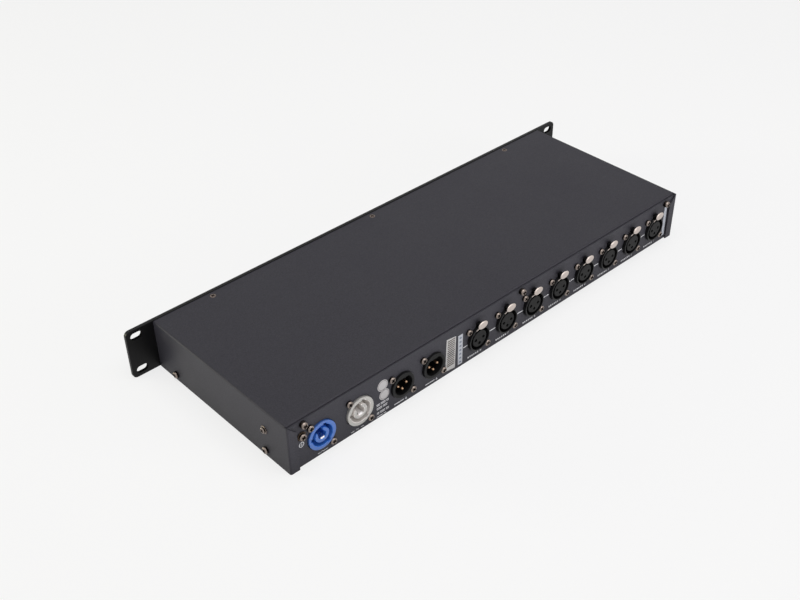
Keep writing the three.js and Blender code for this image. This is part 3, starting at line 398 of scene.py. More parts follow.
def brushed(name, shade, roughness, stretch, scratch):
    """A metal with fine scratches along one way.

    stretch is how much longer than wide the scratches are, scratch their width in
    millimetres."""
    tree, surface, place = new_finish(name, 1.0, 0.5)
    along = add_node(tree, "ShaderNodeMapping", None, {
        "Vector": place, "Scale": (1.0 / stretch, 1.0, 1.0)})
    lines = add_node(tree, "ShaderNodeTexNoise", None, {
        "Vector": along.outputs[0], "Scale": PER_METRE / scratch, "Detail": 3.0,
        "Roughness": 0.6}).outputs[0]
    dress(tree, surface, (tint(shade, 0.88), tint(shade, 1.1)), lines, lines, roughness, lines,
          (0.35, 0.01))


# Sizes and colours that a user would change

class SplitterFinishes(PropertyGroup):
    coating: colour("Case coating", "Powder coating of the cover and the tray", "35343a")
    panel: colour("Panel coating", "Coating of the front panel and its ears", "09090a")
    coating_grain: length("Coating grain", "Width of the bumps in the coating", 0.8)
    nickel: colour("Screws", "Nickel on the screws", "877c75")
    latch: colour("Latches", "Satin nickel of the latch tabs", "c4b9b2")
    gold: colour("Contacts", "Gold on the contacts", "a98a70")
    silver: colour("Power contacts", "Silver on the power contacts", "d8d8e4")
    shell: colour("Socket shells", "Moulded shells of the signal sockets", "111112")
    insert: colour("Socket inserts", "Moulded inserts of the outputs", "141414")
    inlet: colour("Power inlet", "Moulded power inlet", "3f65ab")
    outlet: colour("Power outlet", "Moulded power outlet", "a7a5a1")
    ink: colour("Printing", "Printed lines, marks and numbers", "c9c9cc")
    label: colour("Labels", "Paper of the labels", "b0aead")


class SplitterConnectors(PropertyGroup):
    shell_radius: length("Shell radius", "Outer radius of a signal socket", 10.9)
    input_height: length("Input height", "How far an input stands out of the wall", 2.2)
    output_height: length("Output height", "How far an output stands out of the wall", 2.8)
    groove_radius: length("Groove radius", "Outer radius of an output's ring groove", 9.8)
    insert_radius: length("Insert radius", "Radius of the insert of an output", 7.4)
    insert_recess: length("Insert recess", "How far the insert lies behind the rim", 0.4)
    groove_depth: length("Groove depth", "Depth of the ring groove", 15.0)
    hole_radius: length("Contact hole radius", "Radius of a contact hole", 1.35)
    contact_circle: length("Contact circle", "Radius of the circle of contacts", 4.2)
    cavity_radius: length("Cavity radius", "Radius of the cavity of an input", 8.5)
    cavity_depth: length("Cavity depth", "Depth of the cavity of an input", 13.0)
    cavity_flat: length("Cavity flat", "Height of the flat over the axis of an input", 6.9)
    pin_radius: length("Pin radius", "Radius of a contact pin", 1.2)
    pin_recess: length("Pin recess", "How far the pins end behind the rim", 1.2)
    body_width: length("Body width", "Width of a socket's body behind the wall", 21.6)
    body_depth: length("Body depth", "Depth of a socket's body behind the wall", 22.0)
    latch_gap: length("Latch gap", "Width of the gap that the latch arm moves in", 4.6)
    screw_offset: length("Screw offset", "Offset of the fixing screws, sideways and up", 10.3)


class SplitterLatches(PropertyGroup):
    tab_width: length("Tab width", "Width of the oval tab", 9.9)
    tab_height: length("Tab height", "Height of the oval tab", 6.6)
    tab_thickness: length("Tab thickness", "Thickness of the tab", 1.0)
    tab_above_axis: length("Tab place", "Height of the tab over the socket's axis", 14.8)
    tab_stand_off: length("Tab stand-off", "Gap between the tab and the wall", 4.9)
    arm_width: length("Arm width", "Width of the arm", 4.0)
    arm_thickness: length("Arm thickness", "Thickness of the arm", 1.6)


class SplitterPower(PropertyGroup):
    ring_radius: length("Ring radius", "Outer radius of a power connector", 12.3)
    ring_height: length("Ring height", "How far the ring stands out of the wall", 1.7)
    recess_radius: length("Recess radius", "Radius of the recess in the ring", 9.2)
    recess_depth: length("Recess depth", "Depth of the recess", 14.0)
    hub_radius: length("Hub radius", "Outer radius of the slotted hub", 6.2)
    hub_bore: length("Hub bore", "Radius of the bore in the hub", 3.6)
    keyway_width: length("Keyway width", "Width of the notches in the recess", 3.0)
    keyway_depth: length("Keyway depth", "Depth of the notches", 0.9)


class SplitterScrews(PropertyGroup):
    case_head: length("Case screw head", "Radius of a case screw's head", 2.8)
    case_height: length("Side screw height", "Height of the head of a side screw", 2.4)
    rear_height: length("Rear screw height", "Height of the head of a rear case screw", 3.8)
    fixing_head: length("Fixing screw head", "Radius of a fixing screw's head", 2.7)
    fixing_height: length("Fixing screw height", "Height of a fixing screw's head", 2.3)
    seed: IntProperty(name="Turn", description="Seed for how far each screw is turned",
                      default=7, min=0)


class SplitterStage(PropertyGroup):
    azimuth: rotation("Azimuth", "Camera angle around the object, from its front", 137.4226)
    elevation: rotation("Elevation", "Camera angle over the floor", 37.2685)
    roll: rotation("Roll", "Turn of the camera about its view", -0.7028)
    lens: amount("Lens", "Focal length in millimetres on a 36 mm sensor", 49.976)
    ambient: amount("Ambient", "Strength of the even light", 0.22)
    key: amount("Overhead light", "Power of the overhead light in watts", 18.3)
    rear: amount("Rear light", "Power of the low light on the connectors in watts", 9.6)
    side: amount("Side light", "Power of the light on the side wall in watts", 15.5)
    bounce: amount("Floor light", "Strength of the light that the floor throws up", 2.4)
    floor: colour("Floor", "Floor of the stage", "f2f2f2")


GROUPS = {
    "splitter_finishes": SplitterFinishes,
    "splitter_connectors": SplitterConnectors,
    "splitter_latches": SplitterLatches,
    "splitter_power": SplitterPower,
    "splitter_screws": SplitterScrews,
    "splitter_stage": SplitterStage,
}


class SPLITTER_OT_finishes(Operator):
    """Makes every finish of the splitter"""

    bl_idname = "splitter.finishes"
    bl_label = "Finishes"

    def execute(self, context):
        own = context.scene.splitter_finishes
        grain = mm(own.coating_grain)
        # Powder-coated steel: a dull, finely pebbled black with a soft sheen. The real pebbles
        # are 0.4 mm wide and are drawn twice as wide so that they show.
        textured("powder coating", own.coating, 0.55, 60.0, (0.50, 0.60), grain, 0.06,
                 specular=0.16, speckle=0.88)
        textured("panel coating", own.panel, 0.06, 60.0, (0.38, 0.46), grain, 0.015,
                 specular=0.16)
        # The same coating on the cut walls of the rack slots, thin and without sheen
        textured("slot wall coating", own.panel, 0.06, 60.0, (0.85, 0.95), grain, 0.015,
                 specular=0.03)
        # Nickel-plated steel: a warm, bright metal with fine marks from the driver
        brushed("nickel plating", own.nickel, (0.24, 0.38), 6.0, 0.5)
        # Sunk heads: a darker, rougher nickel
        brushed("dulled nickel", linear("6f645e"), (0.34, 0.48), 6.0, 0.5)
        # A dark copy of the plating for the sides of the heads: painted shade and painted
        # reflection of the black wall
        brushed("shaded nickel", linear("2b2623"), (0.3, 0.42), 6.0, 0.5)
        # Satin nickel: a pale metal, matt from its blasted surface
        textured("satin nickel", own.latch, 0.04, 4.0, (0.34, 0.46), metallic=1.0, **SATIN)
        # Plated brass pins and blades: bright, with faint marks from turning and stamping
        brushed("gold plating", own.gold, (0.28, 0.38), 4.0, 0.4)
        brushed("silver plating", own.silver, (0.22, 0.34), 4.0, 0.4)
        # Steel of the earth washer, gone dark with a brown cast
        brushed("browned steel", linear("5a4c40"), (0.34, 0.5), 3.0, 0.6)
        # Inside of a screw recess: painted shade, in a dark brown
        textured("recess shade", linear("241b17"), 0.1, 1.0, (0.5, 0.6), specular=0.2, **SATIN)
        # Glass-filled nylon: a deep black with a faint moulded grain
        textured("shell nylon", own.shell, 0.08, 5.0, (0.34, 0.46), specular=0.25,
                 **SHELL_GRAIN)
        textured("insert nylon", own.insert, 0.06, 5.0, (0.42, 0.52), specular=0.13,
                 **SHELL_GRAIN)
        # Moulded polyamide of the power connectors: even colour, half gloss
        textured("inlet polyamide", own.inlet, 0.05, 6.0, (0.30, 0.38), **MOULDED)
        textured("outlet polyamide", own.outlet, 0.03, 6.0, (0.32, 0.42), **MOULDED)
        # Paler copies for the recesses: painted light, standing in for light that passes through
        # the thin walls of the plastic and gathers inside
        textured("outlet painted-light recess polyamide", linear("dcd7d3"), 0.03, 6.0, (0.4, 0.5), **MOULDED)
        textured("inlet painted-light recess polyamide", linear("3e79cc"), 0.05, 6.0, (0.4, 0.5), **MOULDED)
        # Silver with a frosted face, which stays pale from every side
        textured("frosted silver", linear("f4f2f2"), 0.03, 2.0, (0.35, 0.45), 0.4, 0.01,
                 metallic=0.25)
        # Silk-screened ink and printed paper: flat and dull
        textured("printing ink", own.ink, 0.05, 2.0, (0.55, 0.7), 0.3, 0.004, specular=0.3)
        textured("label paper", own.label, 0.02, 12.0, (0.5, 0.6), specular=0.35, **PAPER)
        textured("sticker paper", linear("a8a5a6"), 0.02, 12.0, (0.5, 0.6), specular=0.35,
                 **PAPER)
        for kind, code in (("grey", "58524e"), ("dark", "3c3734"), ("blue", "6d7382")):
            textured("label %s ink" % kind, linear(code), 0.06, 3.0, (0.5, 0.6), specular=0.3,
                     **PAPER)
        # Film over the blue label and over the strip beside the far ear: a little glossier
        textured("label blue paper", linear("a8aab1"), 0.03, 6.0, (0.45, 0.55), **PAPER)
        textured("strip film", linear("9a9da5"), 0.03, 6.0, (0.4, 0.5), **PAPER)
        # Button caps: half-gloss black plastic
        textured("button plastic", linear("232325"), 0.06, 4.0, (0.35, 0.45), **MOULDED)
        # Lamps: clear-cast coloured resin, smooth and glossy
        for kind, code in (("green", "2f7f45"), ("amber", "b9781f"), ("blue", "3a66b0")):
            textured(kind + " lamp", linear(code), 0.05, 1.0, (0.15, 0.2), 0.8, 0.004)
        # Inside: lacquered circuit boards, and wires in smooth vinyl
        textured("solder resist", linear("1c5a35"), 0.1, 8.0, (0.25, 0.4), 1.2, 0.02)
        for kind, code in (("brown", "6b3f22"), ("blue", "2f62b5"), ("green", "5c8f2a"),
                           ("red", "a02a24"), ("grey", "8f8f92")):
            textured(kind + " insulation", linear(code), 0.05, 10.0, (0.35, 0.5), 1.0, 0.01)
        return {"FINISHED"}


def even_shading(node, finish):
    """Gives a CAD node its finish, and smooth shading over its bends."""
    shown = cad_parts[node]
    for place in shown.material_slots:
        place.material = bpy.data.materials[finish]
    shading = shown.modifiers.new("even_shading", "NODES")
    shading.node_group = bpy.data.node_groups["even shading"]
    normals = shown.modifiers.new("even_normals", "WEIGHTED_NORMAL")
    normals.keep_sharp = True


def make_even_shading():
    """A modifier that joins split corners and shades shallow edges smooth."""
    joined_within = 0.002 * MM
    shallow_below = math.radians(36)
    group = bpy.data.node_groups.new("even shading", "GeometryNodeTree")
    for way in ("INPUT", "OUTPUT"):
        group.interface.new_socket("Geometry", in_out=way, socket_type="NodeSocketGeometry")
    start = add_node(group, "NodeGroupInput").outputs[0]
    clean = add_node(group, "GeometryNodeRemoveAttribute", None, {
        "Geometry": start, "Name": "custom_normal"})
    whole = add_node(group, "GeometryNodeMergeByDistance", None, {
        "Geometry": clean.outputs[0], "Distance": joined_within})
    smooth = add_node(group, "GeometryNodeSetShadeSmooth", {"domain": "FACE"}, {
        "Geometry": whole.outputs[0], "Shade Smooth": True})
    angle = add_node(group, "GeometryNodeInputMeshEdgeAngle")
    shallow = add_node(group, "FunctionNodeCompare", {
        "data_type": "FLOAT", "operation": "LESS_THAN"}, {
        0: angle.outputs["Unsigned Angle"], 1: shallow_below})
    edges = add_node(group, "GeometryNodeSetShadeSmooth", {"domain": "EDGE"}, {
        "Geometry": smooth.outputs[0], "Shade Smooth": shallow.outputs[0]})
    add_node(group, "NodeGroupOutput", None, {0: edges.outputs[0]})


class SPLITTER_OT_case(Operator):
    """Gives the cover and the tray their coating and even shading"""

    bl_idname = "splitter.case"
    bl_label = "Case"

    def execute(self, context):
        make_even_shading()
        for node in ("top_cover", "base_tray"):
            even_shading(node, "powder coating")
        return {"FINISHED"}


# Front panel, in millimetres from its middle: rack slots, sunk screws, lamps and buttons. Levels,
# here and below, are (inset, distance out of the face).
PANEL_CORNER = 4.0
PANEL_BEVEL = 0.25
SLOT_SIZE = (10.2, 6.2)
SLOT_CORNER = 3.09
SLOT_FROM_END = 8.75
SLOT_SPACING = 31.75
PANEL_SCREW_X = 200.0
PANEL_SCREW_HOLE = 2.7
PANEL_SCREW_LEVELS = [(0.0, 0.0), (0.9, -1.5), (0.9, -3.0)]
LAMP_HOLE = 1.8
LAMP_RADIUS = 1.5
LAMP_LEVELS = [(0.0, 0.1), (0.12, 0.4), (0.42, 0.62), (0.9, 0.77), (1.2, 0.8)]
POWER_LAMP = 190.0
INPUT_LAMPS = [120.0, 108.0]
OUTPUT_LAMPS = [34.0, 22.0, 10.0, -2.0, -48.0, -60.0, -72.0, -84.0]
BUTTON_HOLE = 4.3
BUTTON_RADIUS = 4.0
BUTTON_BACK = -5.7
BUTTON_LEVELS = [(0.0, BUTTON_BACK), (0.0, 1.7), (0.12, 2.05), (0.4, 2.28), (0.9, 2.4)]
BUTTON_DISH_RADIUS = 2.6
BUTTON_DISH = [(0.0, 2.4), (0.5, 2.25), (1.4, 2.15)]
COLLAR_RADIUS = 5.4
COLLAR_LEVELS = [(0.0, BUTTON_BACK), (0.0, -4.9), (0.1, -4.8)]
STEM_RADIUS = 2.0
STEM_BACK = -8.2

# Indicator board behind the panel: its header, thickness, switches and pillars
HEADER_HEIGHT = 7.0
BOARD_THICKNESS = 1.6
SWITCH_WIDTH = 8.0
SWITCH_DEPTH = 5.0
PILLAR_RADIUS = 3.0
PILLAR_INSET = 6.0
PILLAR_FRONT = -4.6
MIDDLE_PILLAR_X = 58.0


def front_plate(place, buttons):
    """The front panel with its slots, screw holes, and holes for lamps and buttons."""
    low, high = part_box("front_panel")
    width, thick, height = [(b - a) / MM for a, b in zip(low, high)]
    edge = [(-PANEL_BEVEL, 0.0), (0.0, -PANEL_BEVEL), (0.0, -thick)]
    holes = []
    for side in (-1, 1):
        for level in (-1, 1):
            slot = moved(rounded(*SLOT_SIZE, SLOT_CORNER, segments=10),
                         side * (width / 2 - SLOT_FROM_END), level * SLOT_SPACING / 2)
            holes.append((slot, edge, True, 1))
        sunk = moved(circle(PANEL_SCREW_HOLE), side * PANEL_SCREW_X, 0.0)
        holes.append((sunk, PANEL_SCREW_LEVELS, True, 0))
    for radius, sides, row in ((LAMP_HOLE, 20, [POWER_LAMP] + INPUT_LAMPS + OUTPUT_LAMPS),
                               (BUTTON_HOLE, 40, buttons)):
        holes += [(circle(radius, sides, (x, 0.0)), edge, True, 0) for x in row]
    form = bmesh.new()
    body(form, place, rounded(width, height, PANEL_CORNER, segments=10),
         [(PANEL_BEVEL, -thick), (0.0, -thick + PANEL_BEVEL), (0.0, -PANEL_BEVEL),
          (PANEL_BEVEL, 0.0)], holes)
    made(form, "front_plate", ["panel coating", "slot wall coating"], "chassis",
         ["front_panel"])


def indicator_board(place, buttons):
    """The board behind the panel with its switches, lamps and pillars."""
    low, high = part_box("indicator_board")
    back = (PANEL_FACE - high[1]) / MM + HEADER_HEIGHT
    front = back + BOARD_THICKNESS
    left, right = low[0] / MM, high[0] / MM
    form = bmesh.new()
    body(form, place, rounded(right - left, (high[2] - low[2]) / MM, 1.0,
                              ((left + right) / 2, 0.0), 2), [(0.0, back), (0.0, front)])
    for x in buttons:
        body(form, place, rounded(SWITCH_WIDTH, SWITCH_WIDTH, 0.6, (x, 0.0), 2),
             [(0.0, front), (0.3, back + SWITCH_DEPTH)], finish=1)
    for row, finish in (([POWER_LAMP], 2), (INPUT_LAMPS, 3), (OUTPUT_LAMPS, 4)):
        for x in row:
            body(form, place, circle(LAMP_RADIUS, 24, (x, 0.0)), [(0.0, front)] + LAMP_LEVELS,
                 finish=finish)
    for x in (left + PILLAR_INSET, MIDDLE_PILLAR_X):
        body(form, place, circle(PILLAR_RADIUS, 12, (x, 0.0)),
             [(0.0, front), (0.0, PILLAR_FRONT)], finish=1)
    made(form, "indicator_lamps",
         ["solder resist", "button plastic", "blue lamp", "amber lamp", "green lamp"],
         "chassis", ["indicator_board"])


def button_cap(place, number, x):
    """A round button with a dished face, a collar behind the panel and a stem."""
    form = bmesh.new()
    body(form, place, circle(BUTTON_RADIUS, 44, (x, 0.0)), BUTTON_LEVELS,
         [(circle(BUTTON_DISH_RADIUS, 40, (x, 0.0)), BUTTON_DISH, False, 0)])
    body(form, place, circle(COLLAR_RADIUS, 40, (x, 0.0)), COLLAR_LEVELS)
    body(form, place, circle(STEM_RADIUS, 20, (x, 0.0)),
         [(0.0, STEM_BACK), (0.0, BUTTON_BACK + 0.1)])
    made(form, "select_button_cap_%d" % number, ["button plastic"], "button_%d" % number,
         ["select_button_%d" % number])


class SPLITTER_OT_front(Operator):
    """Builds the front panel, the indicator board with its lamps, and the buttons"""

    bl_idname = "splitter.front"
    bl_label = "Front panel"

    def execute(self, context):
        place = seat("front", (0, PANEL_FACE, middle("select_button_1")[2]))
        buttons = [middle("select_button_%d" % k)[0] / MM for k in (1, 2)]
        front_plate(place, buttons)
        indicator_board(place, buttons)
        for number, x in enumerate(buttons, 1):
            button_cap(place, number, x)
        return {"FINISHED"}


# Distances in millimetres out of the rear wall's face: the flanges of the connectors lie behind
# the wall, between the first two. Then the outlines of the flanges.
FLANGE_FRONT = -1.5
FLANGE_BACK = -4.0
FLANGE_LEVELS = [(0.0, FLANGE_BACK), (0.0, FLANGE_FRONT - 0.2), (0.2, FLANGE_FRONT)]
FLANGE_CORNER = 1.5
FLANGE_WIDTH = 26.0
SIGNAL_FLANGE_HALF = 13.2
POWER_FLANGE_HEIGHT = 30.4
SHELL_BORE = 10.9

# Outputs, in millimetres: contact holes and their sleeves, measured back from the insert's
# face, the housing round the latch, and the spring strips, whose spans are in degrees
HOLE_DEPTH = 12.0
SLEEVE_FRONT = 5.0
SLEEVE_BORE_END = 9.0
SHELL_BACK = -1.0
HOUSING_WIDTH = 10.6
HOUSING_HEIGHT = 8.8
HOUSING_MIDDLE = 15.2
HOUSING_BACK = -15.5
HOUSING_WALL = 1.2
CHEEK_WIDTH = 3.0
CHEEK_X = 3.8
STRIP_RADII = (10.75, 10.0)
STRIP_SPANS = ((66, 83), (97, 114))


def contact_places(own):
    """Middles of the three contacts of a signal socket."""
    reach = mm(own.contact_circle)
    return [(reach, 0.0), (-reach, 0.0), (0.0, -reach)]


def signal_body(form, place, own, front, open_top):
    """The part of a signal socket behind the wall: its flange, and a block up to a depth."""
    depth, width = -mm(own.body_depth), mm(own.body_width)
    half = SIGNAL_FLANGE_HALF
    if open_top:
        body(form, place, gapped_block(FLANGE_WIDTH, half, -half, SHELL_BORE,
                                       mm(own.latch_gap)), FLANGE_LEVELS)
    else:
        body(form, place, rounded(FLANGE_WIDTH, 2 * half, FLANGE_CORNER), FLANGE_LEVELS,
             [(circle(SHELL_BORE, 56), [(0.0, FLANGE_FRONT), (0.0, FLANGE_BACK)], True, 0)])
    body(form, place, rounded(width, width, 1.0, segments=3),
         [(0.2, depth), (0.0, depth + 0.2), (0.0, front)])


def output_shell(own, number):
    """An output: shell, ring groove, insert with contact holes, latch housing and strips."""
    node = "output_socket_%d" % number
    shell, rim = mm(own.shell_radius), mm(own.output_height)
    groove, insert = mm(own.groove_radius), mm(own.insert_radius)
    gap, width = mm(own.latch_gap), mm(own.body_width)
    face, floor = rim - mm(own.insert_recess), rim - mm(own.groove_depth)
    place = seat("rear", (middle(node)[0], REAR_Y, AXIS_Z))
    form = bmesh.new()
    body(form, place, circle(shell, 64),
         [(0.0, SHELL_BACK), (0.0, rim - 0.4), (0.1, rim - 0.12), (0.32, rim)],
         [(circle(groove, 64),
           [(-0.25, rim), (-0.08, rim - 0.1), (0.0, rim - 0.3), (0.0, SHELL_BACK)], True, 0)])
    body(form, place, gapped_ring(shell, groove, gap), [(0.0, FLANGE_BACK), (0.0, SHELL_BACK)])
    body(form, place, gapped_block(width, width / 2, -width / 2, groove, gap),
         [(0.0, floor), (0.0, FLANGE_BACK)])
    signal_body(form, place, own, floor, True)
    for side in (-1, 1):
        cheek = rounded(CHEEK_WIDTH, HOUSING_HEIGHT, 0.3, (side * CHEEK_X, HOUSING_MIDDLE), 2)
        body(form, place, cheek,
             [(0.0, HOUSING_BACK), (0.0, FLANGE_FRONT - 0.2), (0.2, FLANGE_FRONT)])
    body(form, place, rounded(HOUSING_WIDTH, HOUSING_HEIGHT, 0.3, (0.0, HOUSING_MIDDLE), 2),
         [(0.0, HOUSING_BACK), (0.0, HOUSING_BACK + HOUSING_WALL)])
    hole = mm(own.hole_radius)
    contacts = contact_places(own)
    # The walls of the contact holes take the shell's blacker nylon: painted shade in the holes
    body(form, place, circle(insert, 64), [(0.0, floor), (0.0, face - 0.3), (0.3, face)],
         [(circle(hole, 24, at), [(-0.15, face), (0.0, face - 0.15), (0.0, face - HOLE_DEPTH)],
           False, 0) for at in contacts], finish=1)
    for at in contacts:
        body(form, place, circle(hole - 0.05, 20, at),
             [(0.0, face - HOLE_DEPTH), (0.0, face - SLEEVE_FRONT)],
             [(circle(hole - 0.35, 20, at),
               [(0.0, face - SLEEVE_FRONT), (0.0, face - SLEEVE_BORE_END)], False, 2)],
             finish=2)
    for start, end in STRIP_SPANS:
        strip = arc(STRIP_RADII[0], start, end, 8) + arc(STRIP_RADII[1], end, start, 8)
        body(form, place, strip, [(0.0, rim - 0.3), (0.0, rim + 0.06), (0.06, rim + 0.12)],
             finish=3)
    made(form, "output_shell_%d" % number,
         ["shell nylon", "insert nylon", "gold plating", "satin nickel"], "chassis",
         [node])


class SPLITTER_OT_outputs(Operator):
    """Builds the eight output sockets with their inserts and spring strips"""

    bl_idname = "splitter.outputs"
    bl_label = "Outputs"

    def execute(self, context):
        for number in OUTPUTS:
            output_shell(context.scene.splitter_connectors, number)
        return {"FINISHED"}


# Latches, in millimetres: the hinge pin, the hook behind it, the arm's foot in the tab, and the
# tab's section as (inset, share of the thickness)
PIVOT_ABOVE_AXIS = 12.6
PIVOT_BEHIND_WALL = 4.4
PIVOT_RADIUS = 1.0
PIVOT_HALF = 5.0
HOOK_BACK = -7.0
HOOK_FRONT = -5.4
HOOK_DROP = 3.6
TAB_FOOT = 0.4
TAB_LEVELS = [(0.25, 0.0), (0.05, 0.1), (0.0, 0.3), (0.0, 0.55), (0.12, 0.75), (0.45, 0.88),
              (1.2, 0.97), (2.2, 1.0)]


class SPLITTER_OT_latches(Operator):
    """Builds the latch of each output, with its hook, arm and oval tab"""

    bl_idname = "splitter.latches"
    bl_label = "Latches"

    def execute(self, context):
        own = context.scene.splitter_latches
        above, stand_off = mm(own.tab_above_axis), mm(own.tab_stand_off)
        half, side = mm(own.arm_thickness) / 2, mm(own.arm_width) / 2
        tab_back, tab_up = stand_off + PIVOT_BEHIND_WALL, above - PIVOT_ABOVE_AXIS
        arm = [(HOOK_BACK, half), (HOOK_BACK, -HOOK_DROP), (HOOK_FRONT, half - HOOK_DROP),
               (HOOK_FRONT, -half), (0.0, -half), (tab_back, tab_up - half),
               (tab_back + TAB_FOOT, tab_up - half), (tab_back + TAB_FOOT, tab_up + half),
               (tab_back, tab_up + half), (0.0, half)]
        tab = [(a * mm(own.tab_width) / 2, b * mm(own.tab_height) / 2)
               for a, b in circle(1.0, 56)]
        for number in OUTPUTS:
            node = "output_latch_%d" % number
            x = middle(node)[0]
            pivot = seat("left", (x, REAR_Y - PIVOT_BEHIND_WALL * MM,
                                  AXIS_Z + PIVOT_ABOVE_AXIS * MM))
            place = seat("rear", (x, REAR_Y, AXIS_Z + above * MM))
            form = bmesh.new()
            # The arm takes the black shell nylon: painted shade, as the arm lies in the shade
            # behind its tab
            body(form, pivot, arm, [(0.2, -side), (0.0, 0.2 - side), (0.0, side - 0.2),
                                    (0.2, side)])
            body(form, pivot, circle(PIVOT_RADIUS, 20), [(0.0, -PIVOT_HALF), (0.0, PIVOT_HALF)])
            body(form, place, tab, [(inwards, stand_off + mm(own.tab_thickness) * up)
                                    for inwards, up in TAB_LEVELS], finish=1)
            made(form, "latch_tab_%d" % number, ["shell nylon", "satin nickel"],
                 "latch_%d" % number, [node], sharp=48.0)
        return {"FINISHED"}


# Inputs, in millimetres: the ribs in the cavity, where the pins end behind the wall, and the
# round tip of a pin as (inset, distance from its end)
CAVITY_RIBS = (-1.5, 1.5)
CAVITY_RIB_SIZE = (0.9, 0.35)
PIN_BACK = -25.9
PIN_TIP = [(0.0, -1.4), (0.12, -0.85), (0.38, -0.35), (0.75, -0.05), (0.95, 0.0)]


class SPLITTER_OT_inputs(Operator):
    """Builds the two input sockets with their pins"""

    bl_idname = "splitter.inputs"
    bl_label = "Inputs"

    def execute(self, context):
        own = context.scene.splitter_connectors
        shell, rim = mm(own.shell_radius), mm(own.input_height)
        floor, tip = rim - mm(own.cavity_depth), rim - mm(own.pin_recess)
        width = mm(own.body_width)
        cavity = socket_cavity(mm(own.cavity_radius), mm(own.cavity_flat), CAVITY_RIBS,
                               *CAVITY_RIB_SIZE)
        pin_levels = [(0.2, PIN_BACK), (0.0, PIN_BACK + 0.2)]
        pin_levels += [(inwards, tip + out) for inwards, out in PIN_TIP]
        for letter in LETTERS:
            node = "input_socket_" + letter
            place = seat("rear", (middle(node)[0], REAR_Y, AXIS_Z))
            form = bmesh.new()
            body(form, place, circle(shell, 64),
                 [(0.0, FLANGE_BACK), (0.0, rim - 0.35), (0.1, rim - 0.1), (0.3, rim)],
                 [(cavity, [(-0.2, rim), (0.0, rim - 0.2), (0.0, FLANGE_BACK)], True, 0)],
                 face_finish=1)
            body(form, place, rounded(width, width, 1.0, segments=3),
                 [(0.0, floor), (0.0, FLANGE_BACK)],
                 [(cavity, [(0.0, FLANGE_BACK), (0.0, floor)], True, 0)])
            signal_body(form, place, own, floor, False)
            made(form, "input_shell_" + letter, ["shell nylon", "insert nylon"], "chassis",
                 [node])
            for k, at in enumerate(contact_places(own), 1):
                form = bmesh.new()
                body(form, place, circle(mm(own.pin_radius), 24, at), pin_levels)
                made(form, "contact_pin_%s%d" % (letter, k), ["gold plating"], "chassis",
                     ["input_pin_%s%d" % (letter, k)], sharp=60.0)
        return {"FINISHED"}


# Power connectors, in millimetres and degrees: the keyways round the recess, the gap in the
# hub, the contact blade in its bore, the block behind the wall, and the flat tabs behind that
KEYWAY_ANGLES = (1.0, 107.0, 235.0)
HUB_GAP = 5.6
HUB_GAP_ANGLE = 68.0
BLADE_SPAN = (239, 301)
BLADE_CORNER = (1.8, -1.6)
BLADE_LEVELS = [(0.0, -19.2), (0.0, 1.0), (0.15, 1.15)]
BLOCK_WIDTH = 23.6
BLOCK_BACK = -25.0
TAB_HEIGHTS = (-7.0, 0.0, 7.0)
TAB_SIZE = (6.3, 0.8)
TAB_LENGTH = 7.0


class SPLITTER_OT_power(Operator):
    """Builds the power inlet and outlet with their hubs and contacts"""

    bl_idname = "splitter.power"
    bl_label = "Power connectors"

    def execute(self, context):
        own = context.scene.splitter_power
        outer, rim = mm(own.ring_radius), mm(own.ring_height)
        floor = rim - mm(own.recess_depth)
        recess = keyed(mm(own.recess_radius), KEYWAY_ANGLES, mm(own.keyway_width),
                       mm(own.keyway_depth))
        hub = gapped_ring(mm(own.hub_radius), mm(own.hub_bore), HUB_GAP, HUB_GAP_ANGLE)
        x, y = BLADE_CORNER
        blade = [(-x, y)] + arc(mm(own.hub_bore) - 0.1, *BLADE_SPAN, 12) + [(x, y)]
        for kind, slot, blade_sides in (("inlet", "inlet_blue", "silver plating"),
                                        ("outlet", "outlet_grey", "frosted silver")):
            place = seat("rear", (middle("power_" + kind)[0], REAR_Y, AXIS_Z))
            form = bmesh.new()
            # The recess walls and the hub's sides take the paler recess finish, which is painted
            # light
            body(form, place, circle(outer, 72),
                 [(0.35, FLANGE_BACK), (0.35, 0.1), (0.1, rim - 0.5), (0.2, rim - 0.2),
                  (0.5, rim)],
                 [(recess, [(-0.25, rim), (0.0, rim - 0.25), (0.0, FLANGE_BACK)], True, 2)])
            body(form, place, rounded(BLOCK_WIDTH, BLOCK_WIDTH, 1.0, segments=3),
                 [(0.2, BLOCK_BACK), (0.0, BLOCK_BACK + 0.2), (0.0, FLANGE_BACK)],
                 [(recess, [(0.0, FLANGE_BACK), (0.0, floor)], False, 2)])
            body(form, place, rounded(FLANGE_WIDTH, POWER_FLANGE_HEIGHT, FLANGE_CORNER),
                 FLANGE_LEVELS,
                 [(circle(outer, 72), [(0.0, FLANGE_FRONT), (0.0, FLANGE_BACK)], True, 0)])
            body(form, place, hub, [(0.0, floor), (0.0, rim - 0.65), (0.25, rim - 0.4)],
                 finish=2, face_finish=0)
            for up in TAB_HEIGHTS:
                body(form, place, rounded(*TAB_SIZE, 0.2, (0.0, up), 2),
                     [(0.3, BLOCK_BACK - TAB_LENGTH), (0.0, BLOCK_BACK - TAB_LENGTH + 0.5),
                      (0.0, BLOCK_BACK)], finish=1)
            made(form, "power_shell_" + kind,
                 [kind + " polyamide", "silver plating", kind + " painted-light recess polyamide"],
                 "chassis", ["power_" + kind])
            form = bmesh.new()
            body(form, place, blade, BLADE_LEVELS, face_finish=1)
            made(form, "power_blade_" + kind, [blade_sides, "frosted silver"], "chassis",
                 ["power_%s_contact" % kind])
        return {"FINISHED"}
